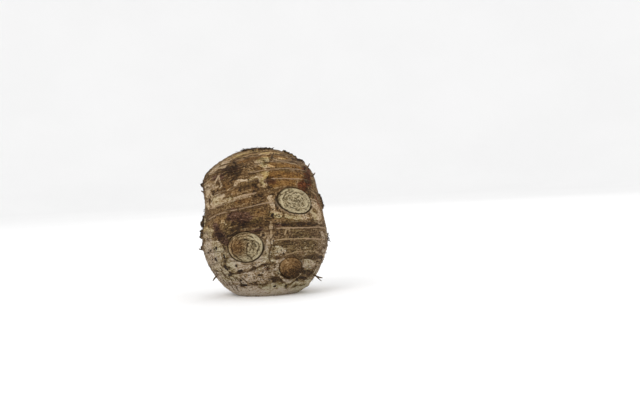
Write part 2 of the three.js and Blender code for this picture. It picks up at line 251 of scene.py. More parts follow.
DARK_HUSK = (
    (2.2, 0.6, (-27, 11.05), (-24, 10.9), (-18, 11.0)),
    (1.8, 0.45, (-40, 10.5), (-28, 10.3)),
    (0.9, 0.9, (-53, 9.7), (-49, 9.3), (-52, 9.1)),
    (0.8, 0.9, (-58, 9.2), (-58, 8.8), (-62, 8.4)),
    (1.2, 0.8, (-77, 11.2), (-82, 10.0)),
    (1.7, 0.5, (9, 8.75), (16, 8.65)),
    (2.2, 0.55, (-17, 8.8), (-9, 8.6), (0, 8.5)),
    (1.3, 0.6, (-6, 8.1), (5, 8.3), (14, 8.3)),
    (1.4, 0.75, (-8, 7.7), (-2, 7.75), (3, 7.6)),
    (1.8, 0.8, (62, 11.5), (86, 11.4)),
    (1.6, 0.7, (66, 10.4), (88, 10.5)),
    (2.6, 0.6, (67, 10.1), (63, 9.5), (56, 8.6)),
    (1.7, 0.8, (53, 7.9), (56, 7.5)),
    (2.6, 0.75, (-28, 6.2), (-22, 6.1), (-7, 6.0), (6, 5.95)),
    (1.2, 0.7, (10, 5.85), (14, 5.85)),
    (1.9, 0.85, (19, 5.5), (34, 5.4), (56, 5.4)),
    (2.4, 0.65, (-47, 6.1), (-45, 5.6), (-42, 5.0)),
    (2.2, 0.7, (-30, 5.75), (-14, 5.75), (0, 5.6)),
    (1.3, 0.85, (-38, 2.0), (-28, 1.95), (-15, 2.0), (-7, 2.2), (5, 2.5)),
    (1.0, 0.4, (-66, 2.3), (-52, 2.0)),
    (1.6, 0.6, (-41, 3.6), (-43, 2.9), (-37, 3.1)),
    (1.4, 0.6, (-43, 2.5), (-37, 2.4)),
    (2.0, 0.5, (7, 3.7), (8, 3.0)),
    (1.3, 0.9, (-34, 5.0), (-22, 5.3)),
    (2.6, 0.9, (37, 1.15), (52, 0.95)),
    (2.0, 0.5, (-12, 6.9), (0, 6.9)),
    (1.6, 0.5, (62, 2.1), (72, 2.1)),
    (3.2, 0.45, (-18, 1.0), (-8, 1.05), (-1, 0.95)),
    (1.0, 0.8, (-41, 3.3), (-48, 2.7), (-41, 2.3)),
    (1.9, 0.6, (4, 1.3), (12, 1.1)),
    (0.8, 0.5, (13, 1.3), (19, 0.95), (25, 0.8), (31, 0.8), (37, 0.95)),
    (2.2, 0.7, (44, 2.9), (57, 2.75), (70, 2.6)),
    (1.6, 0.5, (24, 3.0), (32, 2.95)),
    (1.9, 0.8, (3, 2.5), (9, 2.4)),
    (1.8, 0.7, (-8, 1.6), (-4, 1.5)),
    (1.4, 0.6, (-3, 8.2), (3, 8.1)),
    (1.6, 0.5, (29, 2.8), (45, 2.75)),
    (1.8, 0.5, (40, 0.8), (54, 1.0)),
    (2.2, 0.8, (-30, 10.4), (-18, 10.4)),
    (1.3, 0.7, (10, 9.15), (17, 9.05)),
    (0.9, 0.9, (17, 1.5), (22, 1.14), (29, 1.06), (34, 1.08), (38, 1.3)),
    (1.5, 0.8, (-5, 8.9), (-1, 8.6)),
    (1.5, 0.8, (-26, 9.6), (-20, 9.9)),
    (1.5, 0.7, (-6, 5.0), (0, 4.9)),
    (1.2, 0.5, (-22, 7.5), (-16, 7.5)),
    (1.6, 1.0, (-20, 2.65), (-10, 2.6)),
    (1.2, 0.7, (-21, 3.1), (-14, 2.95)),
    (1.6, 0.9, (-17, 4.65), (-11, 4.6)),
    (1.2, 0.6, (-10, 2.25), (-7, 2.2)),
    (1.3, 0.7, (43, 7.0), (46, 6.8)),
    (1.3, 0.6, (-7, 9.75), (-1, 9.65)),
    (1.4, 0.6, (-78, 6.6), (-71, 6.6)),
    (1.3, 0.6, (-32, 4.5), (-27, 4.4)),
    (2.0, 0.8, (59, 2.4), (68, 2.3)),
    (1.6, 0.7, (9, 1.0), (19, 0.85)),
    (1.6, 0.35, (6, 1.5), (13, 1.2)),
    (2.0, 0.8, (-1, 3.8), (0, 3.3)),
    (2.0, 0.8, (6, 3.8), (8, 3.2)),
    (2.0, 0.3, (50, 1.15), (58, 1.0)),
    (1.8, 0.6, (50, 10.8), (60, 10.9)),
    (2.6, 0.5, (26, 0.6), (60, 0.7)),
    (1.4, 0.5, (-9, 1.65), (-3, 1.6)),
    (1.2, 0.6, (1, 7.4), (5, 7.4)),
    (1.2, 0.5, (-26, 1.75), (-20, 1.7)),
    (1.4, 0.9, (-42, 2.6), (-38, 2.45)),
    (1.2, 0.6, (5, 2.2), (9, 2.2)),
    (1.2, 0.7, (-22, 5.25), (-12, 5.2)),
    (1.3, 0.8, (14, 7.6), (14, 7.2), (15, 6.7)),
    (1.4, 0.6, (-44, 2.6), (-38, 2.5)),
    (1.6, 1.0, (84, 13.2), (88, 12.2), (82, 11.3)),
    (1.3, 0.9, (86, 7.8), (86, 6.9)),
    (1.0, 0.9, (-89, 7.5), (-89, 5.3)),
    (2.0, 0.8, (41, 1.7), (57, 1.5), (53, 1.1)),
    (2.0, 0.4, (16, 3.9), (54, 3.6)),
    (2.4, 0.4, (14, 4.6), (55, 4.5)),
    (2.0, 0.4, (2, 2.0), (8, 2.0), (3, 1.5)),
    (1.8, 0.6, (59, 3.1), (63, 3.3), (71, 3.4)),
    (1.0, 0.8, (-44, 10.1), (-42, 9.9)),
    (1.8, 0.8, (64, 2.2), (84, 2.3)),
    (2.2, 0.8, (-92, 10.6), (-72, 10.6)),
    (2.0, 0.7, (-96, 11.6), (-70, 11.7)),
)
GOLDEN_HUSK = (
    (3.2, 1.0, (17, 9.4), (50, 9.2)),
    (2.4, 0.9, (16, 8.5), (36, 8.3)),
    (2.6, 0.9, (20, 10.5), (56, 10.2)),
    (2.6, 0.8, (-20, 11.7), (10, 11.9), (50, 11.4)),
    (3.6, 0.8, (-50, 13.2), (0, 13.0), (50, 12.6)),
    (2.2, 0.6, (4, 10.4), (8, 9.4)),
    (2.2, 0.4, (-48, 6.7), (-40, 6.6)),
    (2.0, 0.4, (-5, 6.6), (2, 6.5)),
    (1.6, 0.5, (-24, 7.6), (-12, 7.5)),
    (2.4, 0.4, (-34, 9.6), (-24, 8.7)),
    (2.2, 0.8, (-60, 14.2), (0, 14.1), (40, 13.6)),
    (2.0, 0.5, (-76, 6.4), (-60, 6.6)),
)
PLUM_HUSK = (
    (3.8, 1.0, (-30, 6.6), (-24, 6.5), (-14, 6.3)),
    (2.8, 1.0, (-49, 6.3), (-45, 5.6), (-40, 4.9), (-36, 4.5)),
    (2.6, 0.8, (-50, 10.6), (-40, 10.3)),
    (1.6, 1.0, (-10, 5.1), (0, 5.2)),
    (1.8, 0.8, (10, 8.8), (17, 8.7)),
    (2.8, 1.0, (-40, 11.1), (-34, 11.1), (-24, 10.9)),
    (2.4, 0.6, (-32, 12.3), (-20, 12.3)),
    (1.5, 0.6, (12, 5.6), (24, 5.5)),
)
RED_HUSK = (
    (3.8, 1.0, (68, 10.2), (64, 9.6), (61, 9.1), (53, 8.4), (46, 7.95)),
    (2.2, 1.0, (68, 9.8), (78, 10.3)),
    (1.8, 0.5, (66, 7.4), (72, 6.7)),
)
OLIVE_HUSK = (
    (2.4, 1.0, (6, 11.4), (16, 11.4), (10, 10.6)),
    (2.4, 1.0, (5, 9.8), (11, 9.5), (7, 8.8)),
    (2.0, 0.6, (8, 6.4), (20, 6.3), (34, 6.1)),
    (2.2, 0.8, (-60, 13.4), (-20, 13.6), (26, 12.6)),
    (1.8, 0.7, (-16, 6.0), (0, 6.2)),
    (2.6, 0.7, (-4, 0.8), (30, 0.7), (60, 0.6)),
    (2.0, 0.8, (80, 4.6), (84, 3.6)),
)
# Black pores and root traces, and the dark line of an old crack.
PORES = (
    (0.9, 1.0, (-29, 2.5), (-28.5, 2.5)),
    (0.9, 1.0, (-40, 3.5), (-40, 3.2)),
    (0.6, 0.9, (-67, 3.85), (-64, 3.9)),
    (0.6, 0.9, (-60, 4.0), (-58, 4.05)),
    (0.6, 0.9, (-54, 4.1), (-52, 4.1)),
    (1.1, 1.0, (-49, 4.2), (-48.5, 4.2)),
    (0.8, 1.0, (-54, 3.35), (-54, 3.1)),
    (0.5, 0.8, (-62, 3.3), (-60, 3.3)),
    (1.0, 1.0, (-44, 2.4), (-42, 2.3)),
    (0.8, 1.0, (-44, 1.8), (-40, 1.8)),
    (0.9, 0.9, (-28, 2.05), (-24, 2.0)),
    (0.9, 1.0, (-30, 1.3), (-29.5, 1.3)),
    (1.0, 1.0, (-33, 0.9), (-26, 0.9)),
    (0.8, 1.0, (10, 0.7), (11, 0.7)),
    (0.6, 0.9, (25, 0.7), (26, 0.7)),
    (0.8, 1.0, (0, 3.7), (0.5, 3.7)),
    (0.6, 1.0, (17, 3.2), (17.5, 3.15)),
    (0.9, 1.0, (9, 6.3), (10, 6.4)),
    (0.7, 0.9, (0, 4.7), (0.5, 4.7)),
    (0.8, 0.9, (-7, 1.6), (-6, 1.6)),
)
# Thin pale lines of worn skin, and thin dark wrinkles and cracks.
PALE_LINES = (
    (0.5, 0.8, (21, 3.1), (25, 3.2), (30, 3.3), (36, 3.3), (47, 3.2), (60, 2.9), (74, 2.7)),
    (0.5, 0.8, (12, 4.2), (19, 4.2), (28, 4.1), (42, 4.0)),
    (0.2, 1.0, (14, 1.7), (16, 1.38), (21, 1.12), (28, 1.03), (34, 1.05), (38, 1.2), (42, 1.45)),
    (0.7, 0.8, (8, 6.1), (8, 5.1), (7, 4.5)),
    (0.5, 0.8, (7, 5.1), (6, 4.3), (5, 3.7)),
    (0.4, 0.7, (-20, 5.6), (-11, 5.5), (-3, 5.4), (5, 5.1)),
    (0.5, 0.9, (19, 4.5), (21, 4.9), (24, 4.9)),
    (0.6, 1.0, (-45, 10.6), (-42, 10.3), (-38, 9.6), (-41, 9.5)),
    (0.6, 1.0, (-45, 10.5), (-47, 10.0), (-46, 9.65), (-43, 9.7)),
    (0.5, 0.6, (-50, 10.5), (-48, 9.9)),
    (0.6, 0.8, (-68, 10.4), (-50, 10.6)),
    (0.6, 0.9, (-70, 11.4), (-64, 12.1), (-60, 13.1), (-47, 13.5)),
    (0.7, 0.8, (-18, 12.8), (13, 12.7)),
    (0.6, 0.9, (26, 11.3), (35, 11.0), (44, 10.7), (55, 10.6)),
    (0.5, 0.8, (-2, 4.6), (-1, 4.9), (1, 4.9), (2, 4.6), (0, 4.5)),
    (0.6, 0.8, (58, 7.9), (66, 7.7), (72, 7.2)),
)
WRINKLES = (
    (0.45, 1.0, (10, 4.6), (6, 4.3), (6, 3.8), (4, 3.1), (6, 2.6)),
    (0.5, 0.9, (-35, 1.6), (-31, 0.9)),
    (0.5, 0.9, (-28, 1.6), (-23, 1.1)),
    (0.5, 0.9, (-13, 2.4), (-8, 2.2), (-2, 2.4)),
    (0.45, 0.7, (24, 0.7), (33, 0.3)),
    (0.5, 1.0, (17, 1.5), (22, 1.2), (29, 1.1), (34, 1.13), (38, 1.35)),
)
# Where shallow wrinkles run up the skin.
WRINKLED = (
    (5.0, 0.6, (-78, 2.4), (-62, 1.2), (-48, 0.8)),
    (3.5, 0.7, (-52, 2.2), (-40, 1.4)),
    (5.0, 0.6, (60, 1.2), (76, 1.8)),
    (7.0, 0.8, (112, 1.2), (134, 2.2)),
    (6.0, 0.7, (205, 1.4), (240, 2.2)),
    (6.0, 0.5, (150, 6.4), (176, 7.4)),
    (6.0, 0.5, (232, 8.6), (252, 9.6)),
)
# Rings whose worn crest shows pale.
WORN_RINGS = (
    (1.6, 0.9, (-60, 7.0), (-30, 7.0), (14, 7.0)),
    (1.6, 0.9, (-60, 8.0), (-30, 8.0), (-4, 8.0)),
    (1.6, 1.0, (13, 5.0), (80, 5.0)),
    (1.6, 1.0, (40, 4.0), (66, 4.0)),
    (1.6, 0.7, (16, 9.0), (56, 9.0)),
    (1.6, 0.8, (-4, 10.0), (66, 10.0)),
    (1.6, 0.7, (18, 11.0), (62, 11.0)),
    (1.6, 0.7, (-75, 13.0), (0, 13.0), (70, 13.0)),
    (1.6, 0.6, (-75, 12.0), (-40, 12.0), (60, 12.0)),
    (1.6, 0.6, (-80, 9.0), (-52, 9.0)),
)
# Where fine dark lines crowd along the rings, and where dark dots crowd.
STRIATED = (
    (6.0, 0.3, (-60, 13.4), (0, 13.2), (60, 12.6)),
    (5.0, 0.6, (-80, 9.8), (-64, 11.0)),
    (8.0, 0.5, (110, 1.4), (180, 1.6), (250, 1.2)),
)
DOTTED = (
    (8.0, 0.8, (-66, 3.8), (-46, 3.2)),
    (5.0, 0.9, (-68, 5.7), (-56, 5.0)),
    (4.0, 1.0, (9, 3.7), (18, 3.3)),
    (3.0, 0.9, (-1, 4.4), (0, 3.5)),
    (7.0, 0.9, (-24, 1.2), (8, 1.6)),
    (8.0, 0.9, (20, 4.5), (60, 3.8)),
    (6.0, 0.9, (54, 7.0), (66, 6.2)),
    (5.0, 1.0, (10, 6.5), (44, 6.3)),
    (16.0, 0.7, (120, 3.6), (180, 4.4), (240, 3.8)),
)
# Raised crusts of matted fibre.
CRUSTS = (
    (1.9, 0.9, (-88, 7.5), (-89, 6.95)),
    (1.9, 0.9, (-88, 6.15), (-89, 5.35)),
    (0.8, 0.5, (-84, 4.4), (-89, 4.3)),
    (1.0, 0.7, (-86, 10.7), (-90, 10.7)),
    (1.2, 0.6, (82, 13.2), (88, 13.0), (94, 13.1)),
    (1.2, 0.6, (82, 12.5), (89, 12.3), (93, 12.4)),
    (1.0, 0.5, (78, 11.7), (91, 11.4)),
    (1.4, 0.7, (85, 7.9), (90, 7.7), (94, 7.8)),
    (1.5, 0.8, (84, 7.1), (91, 6.9)),
    (1.3, 0.4, (-20, 14.4), (10, 14.4)),
    (1.3, 0.5, (178, 14.3), (150, 13.9)),
    (1.3, 0.5, (120, 9.0), (140, 9.3)),
    (1.5, 0.5, (-140, 11.0), (-120, 10.6)),
)
# Cracks on a scar: which scar, half width, and places as shares of the scar's half sizes.
SCAR_CRACKS = (
    (0, 0.03, (-0.12, 0.2), (0.02, 0.05), (0.0, -0.08), (-0.12, -0.06)),
    (0, 0.025, (0.3, 0.3), (0.38, 0.0), (0.22, -0.3), (-0.1, -0.42)),
    (0, 0.025, (-0.62, 0.3), (-0.7, 0.0), (-0.5, -0.45)),
    (1, 0.05, (0.06, 0.5), (0.23, 0.48), (0.42, 0.36), (0.47, 0.2), (0.4, 0.05)),
    (1, 0.035, (0.25, 0.3), (0.15, 0.0), (0.09, -0.43), (0.3, -0.7), (0.31, -0.95)),
    (1, 0.03, (0.72, 0.3), (0.76, 0.0), (0.64, -0.36)),
    (1, 0.035, (-0.84, 0.3), (-0.64, 0.6), (-0.3, 0.8), (0.1, 0.86), (0.35, 0.8)),
    (1, 0.03, (-0.6, 0.5), (-0.74, 0.1), (-0.66, -0.4), (-0.3, -0.75)),
    (3, 0.03, (-0.2, 0.5), (0.3, 0.4), (0.5, 0.0), (0.2, -0.4)),
    (4, 0.03, (-0.4, 0.3), (-0.1, 0.5), (0.4, 0.3), (0.5, -0.2)),
    (5, 0.04, (0.1, 0.5), (0.0, 0.0), (0.2, -0.5), (0.1, -0.9)),
)

# Half a flake's thickness, and how far its lower edge is sunk in the skin.
HALF_FLAKE, FLAKE_ROOT = 0.09, 1.0

# Thick tufts of fibre: turn, height, half width in degrees, half height, count, length.
TUFTS = (
    (-28.0, 87.0, 12.0, 4.0, 90, 5.0),
    (-83.0, 52.0, 5.0, 9.0, 60, 3.2),
    (55.0, 78.0, 5.0, 6.0, 30, 3.5),
    (-30.0, 100.5, 30.0, 1.2, 25, 2.8),
    (120.0, 100.5, 160.0, 1.0, 60, 2.6),
    (0.0, 101.7, 360.0, 0.5, 100, 2.5),
    (-8.0, 100.6, 80.0, 1.2, 200, 2.8),
    (200.0, 78.0, 14.0, 3.0, 50, 4.0),
    (150.0, 88.0, 18.0, 4.0, 60, 5.0),
    (-145.0, 70.0, 9.0, 5.0, 50, 4.5),
    (95.0, 36.0, 10.0, 5.0, 40, 4.5),
    (180.0, 101.0, 120.0, 0.7, 420, 3.4),
)

# The stage, in metres: the floor, and each light's place and size.
FLOOR_FLAT = 2.2
FLOOR_BEND = 1.3
LIGHTS = {
    "key": ((-0.55, -0.95, 0.85), 0.7),
    "fill": ((0.95, -0.8, 0.14), 0.8),
    "back": ((0.3, 1.1, 0.9), 0.8),
}
LIGHT_AIM = 0.05  # height of the point that the lights are aimed at
SENSOR = 36.0  # width of the camera's sensor, in millimetres

# The shares of a stroke's half width over which it fades out.
HUSK_EDGE = (0.45, 1.35)
CRUST_EDGE = (0.75, 1.3)
PORE_EDGE = (0.8, 1.3)
LINE_EDGE = (0.0, 2.4)
FULLY_RAGGED = 2.0  # half width from which an edge wanders fully

# Distances and heights of the skin's relief, in millimetres. The ring ridges' height and
# the swell between them are sizes of the shape.
RING_REACH = 4.0
RIDGE_BELOW, RIDGE_ABOVE = 1.25, 0.75
FOLDS = 0.16
LUMPS, SMALL_LUMPS = 0.36, 0.16
SHEET = 0.2
CLOTS = 0.35
CRUST_HEIGHT = 2.9
PITS, PORE_DEPTH = 0.4, 0.5
BED_DEPTH = 2.2

# The masks that Paint makes for the skin's material, besides the way up the rings.
MASKS = (
    "husk dark gold plum red moss grey base layer pale wrinkle wrinkled lines dots pore "
    "crest below crack brown groove lip near"
).split()

# Noises of the fibres: cells in a metre round the corm and up it, detail and roughness.
FIBRE_NOISES = {
    "Along": (120, 1100, 4, 0.6),
    "Across": (1300, 140, 3, 0.6),
    "Blotch": (210, 380, 5, 0.6),
    "Mottle": (620, 900, 4, 0.7),
    "Streak": (230, 1900, 3, 0.65),
}


def smooth_step(low, high, x):
    """0 below low, 1 above high and 3t^2 - 2t^3 between."""
    t = np.clip((x - low) / (high - low), 0.0, 1.0)
    return t * t * (3.0 - 2.0 * t)


# A turn that keeps the cells of the noise from lining up with the corm.
TURNED = np.array([[0.36, 0.48, -0.8], [-0.8, 0.6, 0.0], [0.48, 0.64, 0.6]])


def lattice(cell, seed):
    """A repeatable random value from -1 to 1 for each whole-number cell, by bit mixing."""
    c = cell.astype(np.int64).astype(np.uint32)
    h = c[..., 0] * np.uint32(374761393)
    h = h + c[..., 1] * np.uint32(668265263)
    h = h + c[..., 2] * np.uint32(2246822519)
    h = h + np.uint32(seed * 3266489917 % 2**32)
    h = (h ^ (h >> np.uint32(13))) * np.uint32(1274126177)
    h = (h ^ (h >> np.uint32(15))) * np.uint32(2654435761)
    return (h ^ (h >> np.uint32(16))).astype(float) / 2**31 - 1.0


def noise(points, seed):
    """Value noise: the turned lattice's values round each point, in a smooth blend."""
    points = points @ TURNED
    cell = np.floor(points)
    t = points - cell
    t = t * t * (3.0 - 2.0 * t)
    total = np.zeros(points.shape[:-1])
    for corner in np.ndindex(2, 2, 2):
        share = np.prod(np.where(corner, t, 1.0 - t), axis=-1)
        total += share * lattice(cell + corner, seed)
    return total


def fractal(points, octaves, seed):
    """Noise plus half as much at twice the fineness, and so on, within about -1 to 1."""
    total = sum(noise(points * 2.0**k, seed + k) * 0.5**k for k in range(octaves))
    return total / (2.0 - 0.5 ** (octaves - 1))


class Skin:
    """The corm's bare form. Points are skin(turn, way) + lift, in millimetres."""

    def __init__(self, shape):
        self.half = shape.width / MM / 2
        self.height = shape.height / MM
        self.depth = shape.depth_ratio
        self.lean = shape.crown_lean / MM
        self.dip = shape.crown_dip / MM
        self.middle = (shape.shift_x / MM, shape.shift_y / MM)
        knots = np.array(OUTLINE) * (self.half, self.height)
        self.line = self.spline(knots)
        steps = np.hypot(*np.diff(self.line, axis=0).T)
        self.ways = np.concatenate([[0.0], np.cumsum(steps)])
        slope = np.gradient(self.line, self.ways, axis=0)
        self.slope = slope / np.hypot(*slope.T)[:, None]
        self.length = self.ways[-1]

    @staticmethod
    def spline(knots, samples=4000):
        """A uniform Catmull-Rom curve through the knots, its end knots counted twice."""
        t = np.linspace(0, len(knots) - 1, samples)
        i = np.minimum(t.astype(int), len(knots) - 2)
        w = (t - i)[:, None]
        before = knots[np.maximum(i - 1, 0)]
        after = knots[np.minimum(i + 2, len(knots) - 1)]
        a, b = knots[i], knots[i + 1]
        u, v = (b - before) / 2, (after - a) / 2
        return (
            (2 * a - 2 * b + u + v) * w**3
            + (3 * b - 3 * a - 2 * u - v) * w**2
            + u * w
            + a
        )

    def radius(self, way):
        return np.interp(way, self.ways, self.line[:, 0])

    def up(self, way):
        return np.interp(way, self.ways, self.line[:, 1])

    def way_at(self, height):
        return np.interp(height, self.line[:, 1], self.ways)

    def fullness(self, turn, height):
        """1 + 0.018 sin(2t + 2.2u) sin(pi u) + 0.012 sin(3t - 3.1u + 0.9)
        + 0.007 sin(4t + 5.3u + 2), where u is the share of the height."""
        u = height / self.height
        return (
            1
            + 0.018 * np.sin(2 * turn + 2.2 * u) * np.sin(np.pi * u)
            + 0.012 * np.sin(3 * turn - 3.1 * u + 0.9)
            + 0.007 * np.sin(4 * turn + 5.3 * u + 2.0)
        )

    def point(self, turn, way, lift=0.0):
        """x = lean + r sin(turn), y = -r cos(turn) depth, z = height - dip, where r is the
        outline's radius times the fullness, and lift is added along the outline's normal.
        The dip flattens the tip: it is full from DIP_IN to the axis and 0 from DIP_OUT out."""
        slope_out = np.interp(way, self.ways, self.slope[:, 0])
        slope_up = np.interp(way, self.ways, self.slope[:, 1])
        height = self.up(way)
        r = self.radius(way) * self.fullness(turn, height) + slope_up * lift
        lean = self.lean * smooth_step(LEAN_FROM, LEAN_TO, height)
        crown = smooth_step(LEAN_TO, LEAN_TO + 6, height)
        dip = self.dip * crown * smooth_step(DIP_OUT, DIP_IN, self.radius(way))
        return np.stack(
            [
                lean + r * np.sin(turn) - self.middle[0],
                -r * np.cos(turn) * self.depth - self.middle[1],
                height - dip - slope_out * lift,
            ],
            axis=-1,
        )

    def ring_way(self, index, turn):
        """low + rise ((1 + cos(turn - 27 deg)) / 2)^1.6, and two waves round the girth."""
        low, rise = RINGS[index]
        facing = (1 + np.cos(turn - math.radians(RISE_TURN))) / 2
        way = low + rise * facing**RISE_SHARPNESS
        girth = self.radius(way) / self.half
        waves = 0.6 * np.sin(3 * turn + 1.7 * index)
        waves = waves + 0.36 * np.sin(7 * turn + 3.23 * index)
        return way + girth * waves

    def crests(self, turn):
        """The rim, every ring and the tip, as ways up the skin, one row for each."""
        rows = [np.zeros_like(turn)]
        rows += [self.ring_way(k, turn) for k in range(len(RINGS))]
        rows += [np.full_like(turn, self.length)]
        return np.stack(rows)

    def ring_of(self, turn, way):
        """The ring coordinate: the ring below, plus the share of the way to the next."""
        crests = self.crests(turn)
        ring = np.zeros_like(way)
        for k in range(len(crests) - 1):
            low, high = crests[k], crests[k + 1]
            inside = (way >= low) & (way <= high)
            ring = np.where(inside, k + (way - low) / (high - low), ring)
        return ring

    def scar_axes(self, scar):
        """A scar's turn, way and radius there, the cosine and sine of its tilt, and its
        half sizes across and up."""
        turn, height, across, up, tilt = scar[:5]
        way = float(self.way_at(height))
        tilt = math.radians(tilt)
        radius = float(self.radius(way))
        return math.radians(turn), way, radius, math.cos(tilt), math.sin(tilt), across, up

    def on_scar(self, scar, turn, way):
        """Where a place lies on a scar, as shares of its half sizes across and up."""
        turn0, way0, r, cos, sin, across, up = self.scar_axes(scar)
        side = ((turn - turn0 + np.pi) % (2 * np.pi) - np.pi) * r
        rise = way - way0
        return (side * cos - rise * sin) / across, (side * sin + rise * cos) / up

    def off_scars(self, turn, way):
        """How far a place is from the middle of the nearest scar, as a share of its size."""
        return np.min([np.hypot(*self.on_scar(scar, turn, way)) for scar in SCARS], axis=0)

    def from_scar(self, scar, x, y):
        """The turn and way of a place given as shares of the scar's half sizes."""
        turn0, way0, r, cos, sin, across, up = self.scar_axes(scar)
        a, u = x * across, y * up
        return turn0 + (a * cos + u * sin) / r, way0 + u * cos - a * sin


def scar_place(x, y, number):
    """A place on a scar for its material: x, y, and a third part that no two scars share."""
    return np.stack([x, y, np.full_like(x, 3.7 * number)], axis=-1)


def from_stretch(x, y, start, end):
    """The distance from (x, y) to the straight stretch between two points, each a pair:
    |p - a - t (b - a)|, where t is ((p - a).(b - a)) / |b - a|^2 held between 0 and 1."""
    dx, dy = end[0] - start[0], end[1] - start[1]
    px, py = x - start[0], y - start[1]
    t = np.clip((px * dx + py * dy) / (dx * dx + dy * dy + 1e-9), 0, 1)
    return np.hypot(px - t * dx, py - t * dy)


def stroked(strokes, turn, ring, girth, band, ragged, soft):
    """The strongest of the strokes at each point, which fades out over the soft range of
    distance / half width, with an edge that wanders by the ragged noise. Turns and rings
    become millimetres by the girth and the height of a band at the point."""
    best = np.zeros_like(ring)
    for half, strength, *places in strokes:
        far = np.full_like(ring, 1e9)
        for (turn0, ring0), (turn1, ring1) in zip(places[:-1], places[1:]):
            start = np.radians(turn0)
            x = ((turn - start + np.pi) % (2 * np.pi) - np.pi) * girth
            y = (ring - ring0) * band
            end = ((np.radians(turn1) - start) * girth, (ring1 - ring0) * band)
            far = np.minimum(far, from_stretch(x, y, (0.0, 0.0), end))
        share = far / half + ragged * min(1.0, half / FULLY_RAGGED)
        best = np.maximum(best, strength * (1 - smooth_step(*soft, share)))
    return best


def scattered(count, seed, half, strength, longest):
    """Strokes on the sides and the back, drawn from a seeded generator: each starts
    anywhere there and runs along its band."""
    rng = np.random.default_rng(seed)
    turn = rng.uniform(80, 280, count)
    ring = rng.uniform(0.3, 14.2, count)
    run = rng.uniform(-longest, longest, count)
    halves = rng.uniform(*half, count)
    strengths = rng.uniform(*strength, count)
    ends = zip(turn + run, ring + rng.uniform(-0.25, 0.25, count))
    return tuple(zip(halves, strengths, zip(turn, ring), ends))


SIDE_CORK = scattered(26, 11, (0.8, 2.0), (0.6, 1.0), 22)
SIDE_DARK = scattered(26, 12, (0.6, 1.4), (0.5, 0.9), 22)
SIDE_PORES = scattered(60, 15, (0.5, 0.9), (0.8, 1.0), 2)
SIDE_RINGS = tuple(
    (
        1.6,
        0.5 + 0.4 * math.sin(2.4 * k) ** 2,
        (95 + 30 * math.sin(k), k),
        (190 + 55 * math.cos(2 * k), k),
    )
    for k in range(1, 15)
)


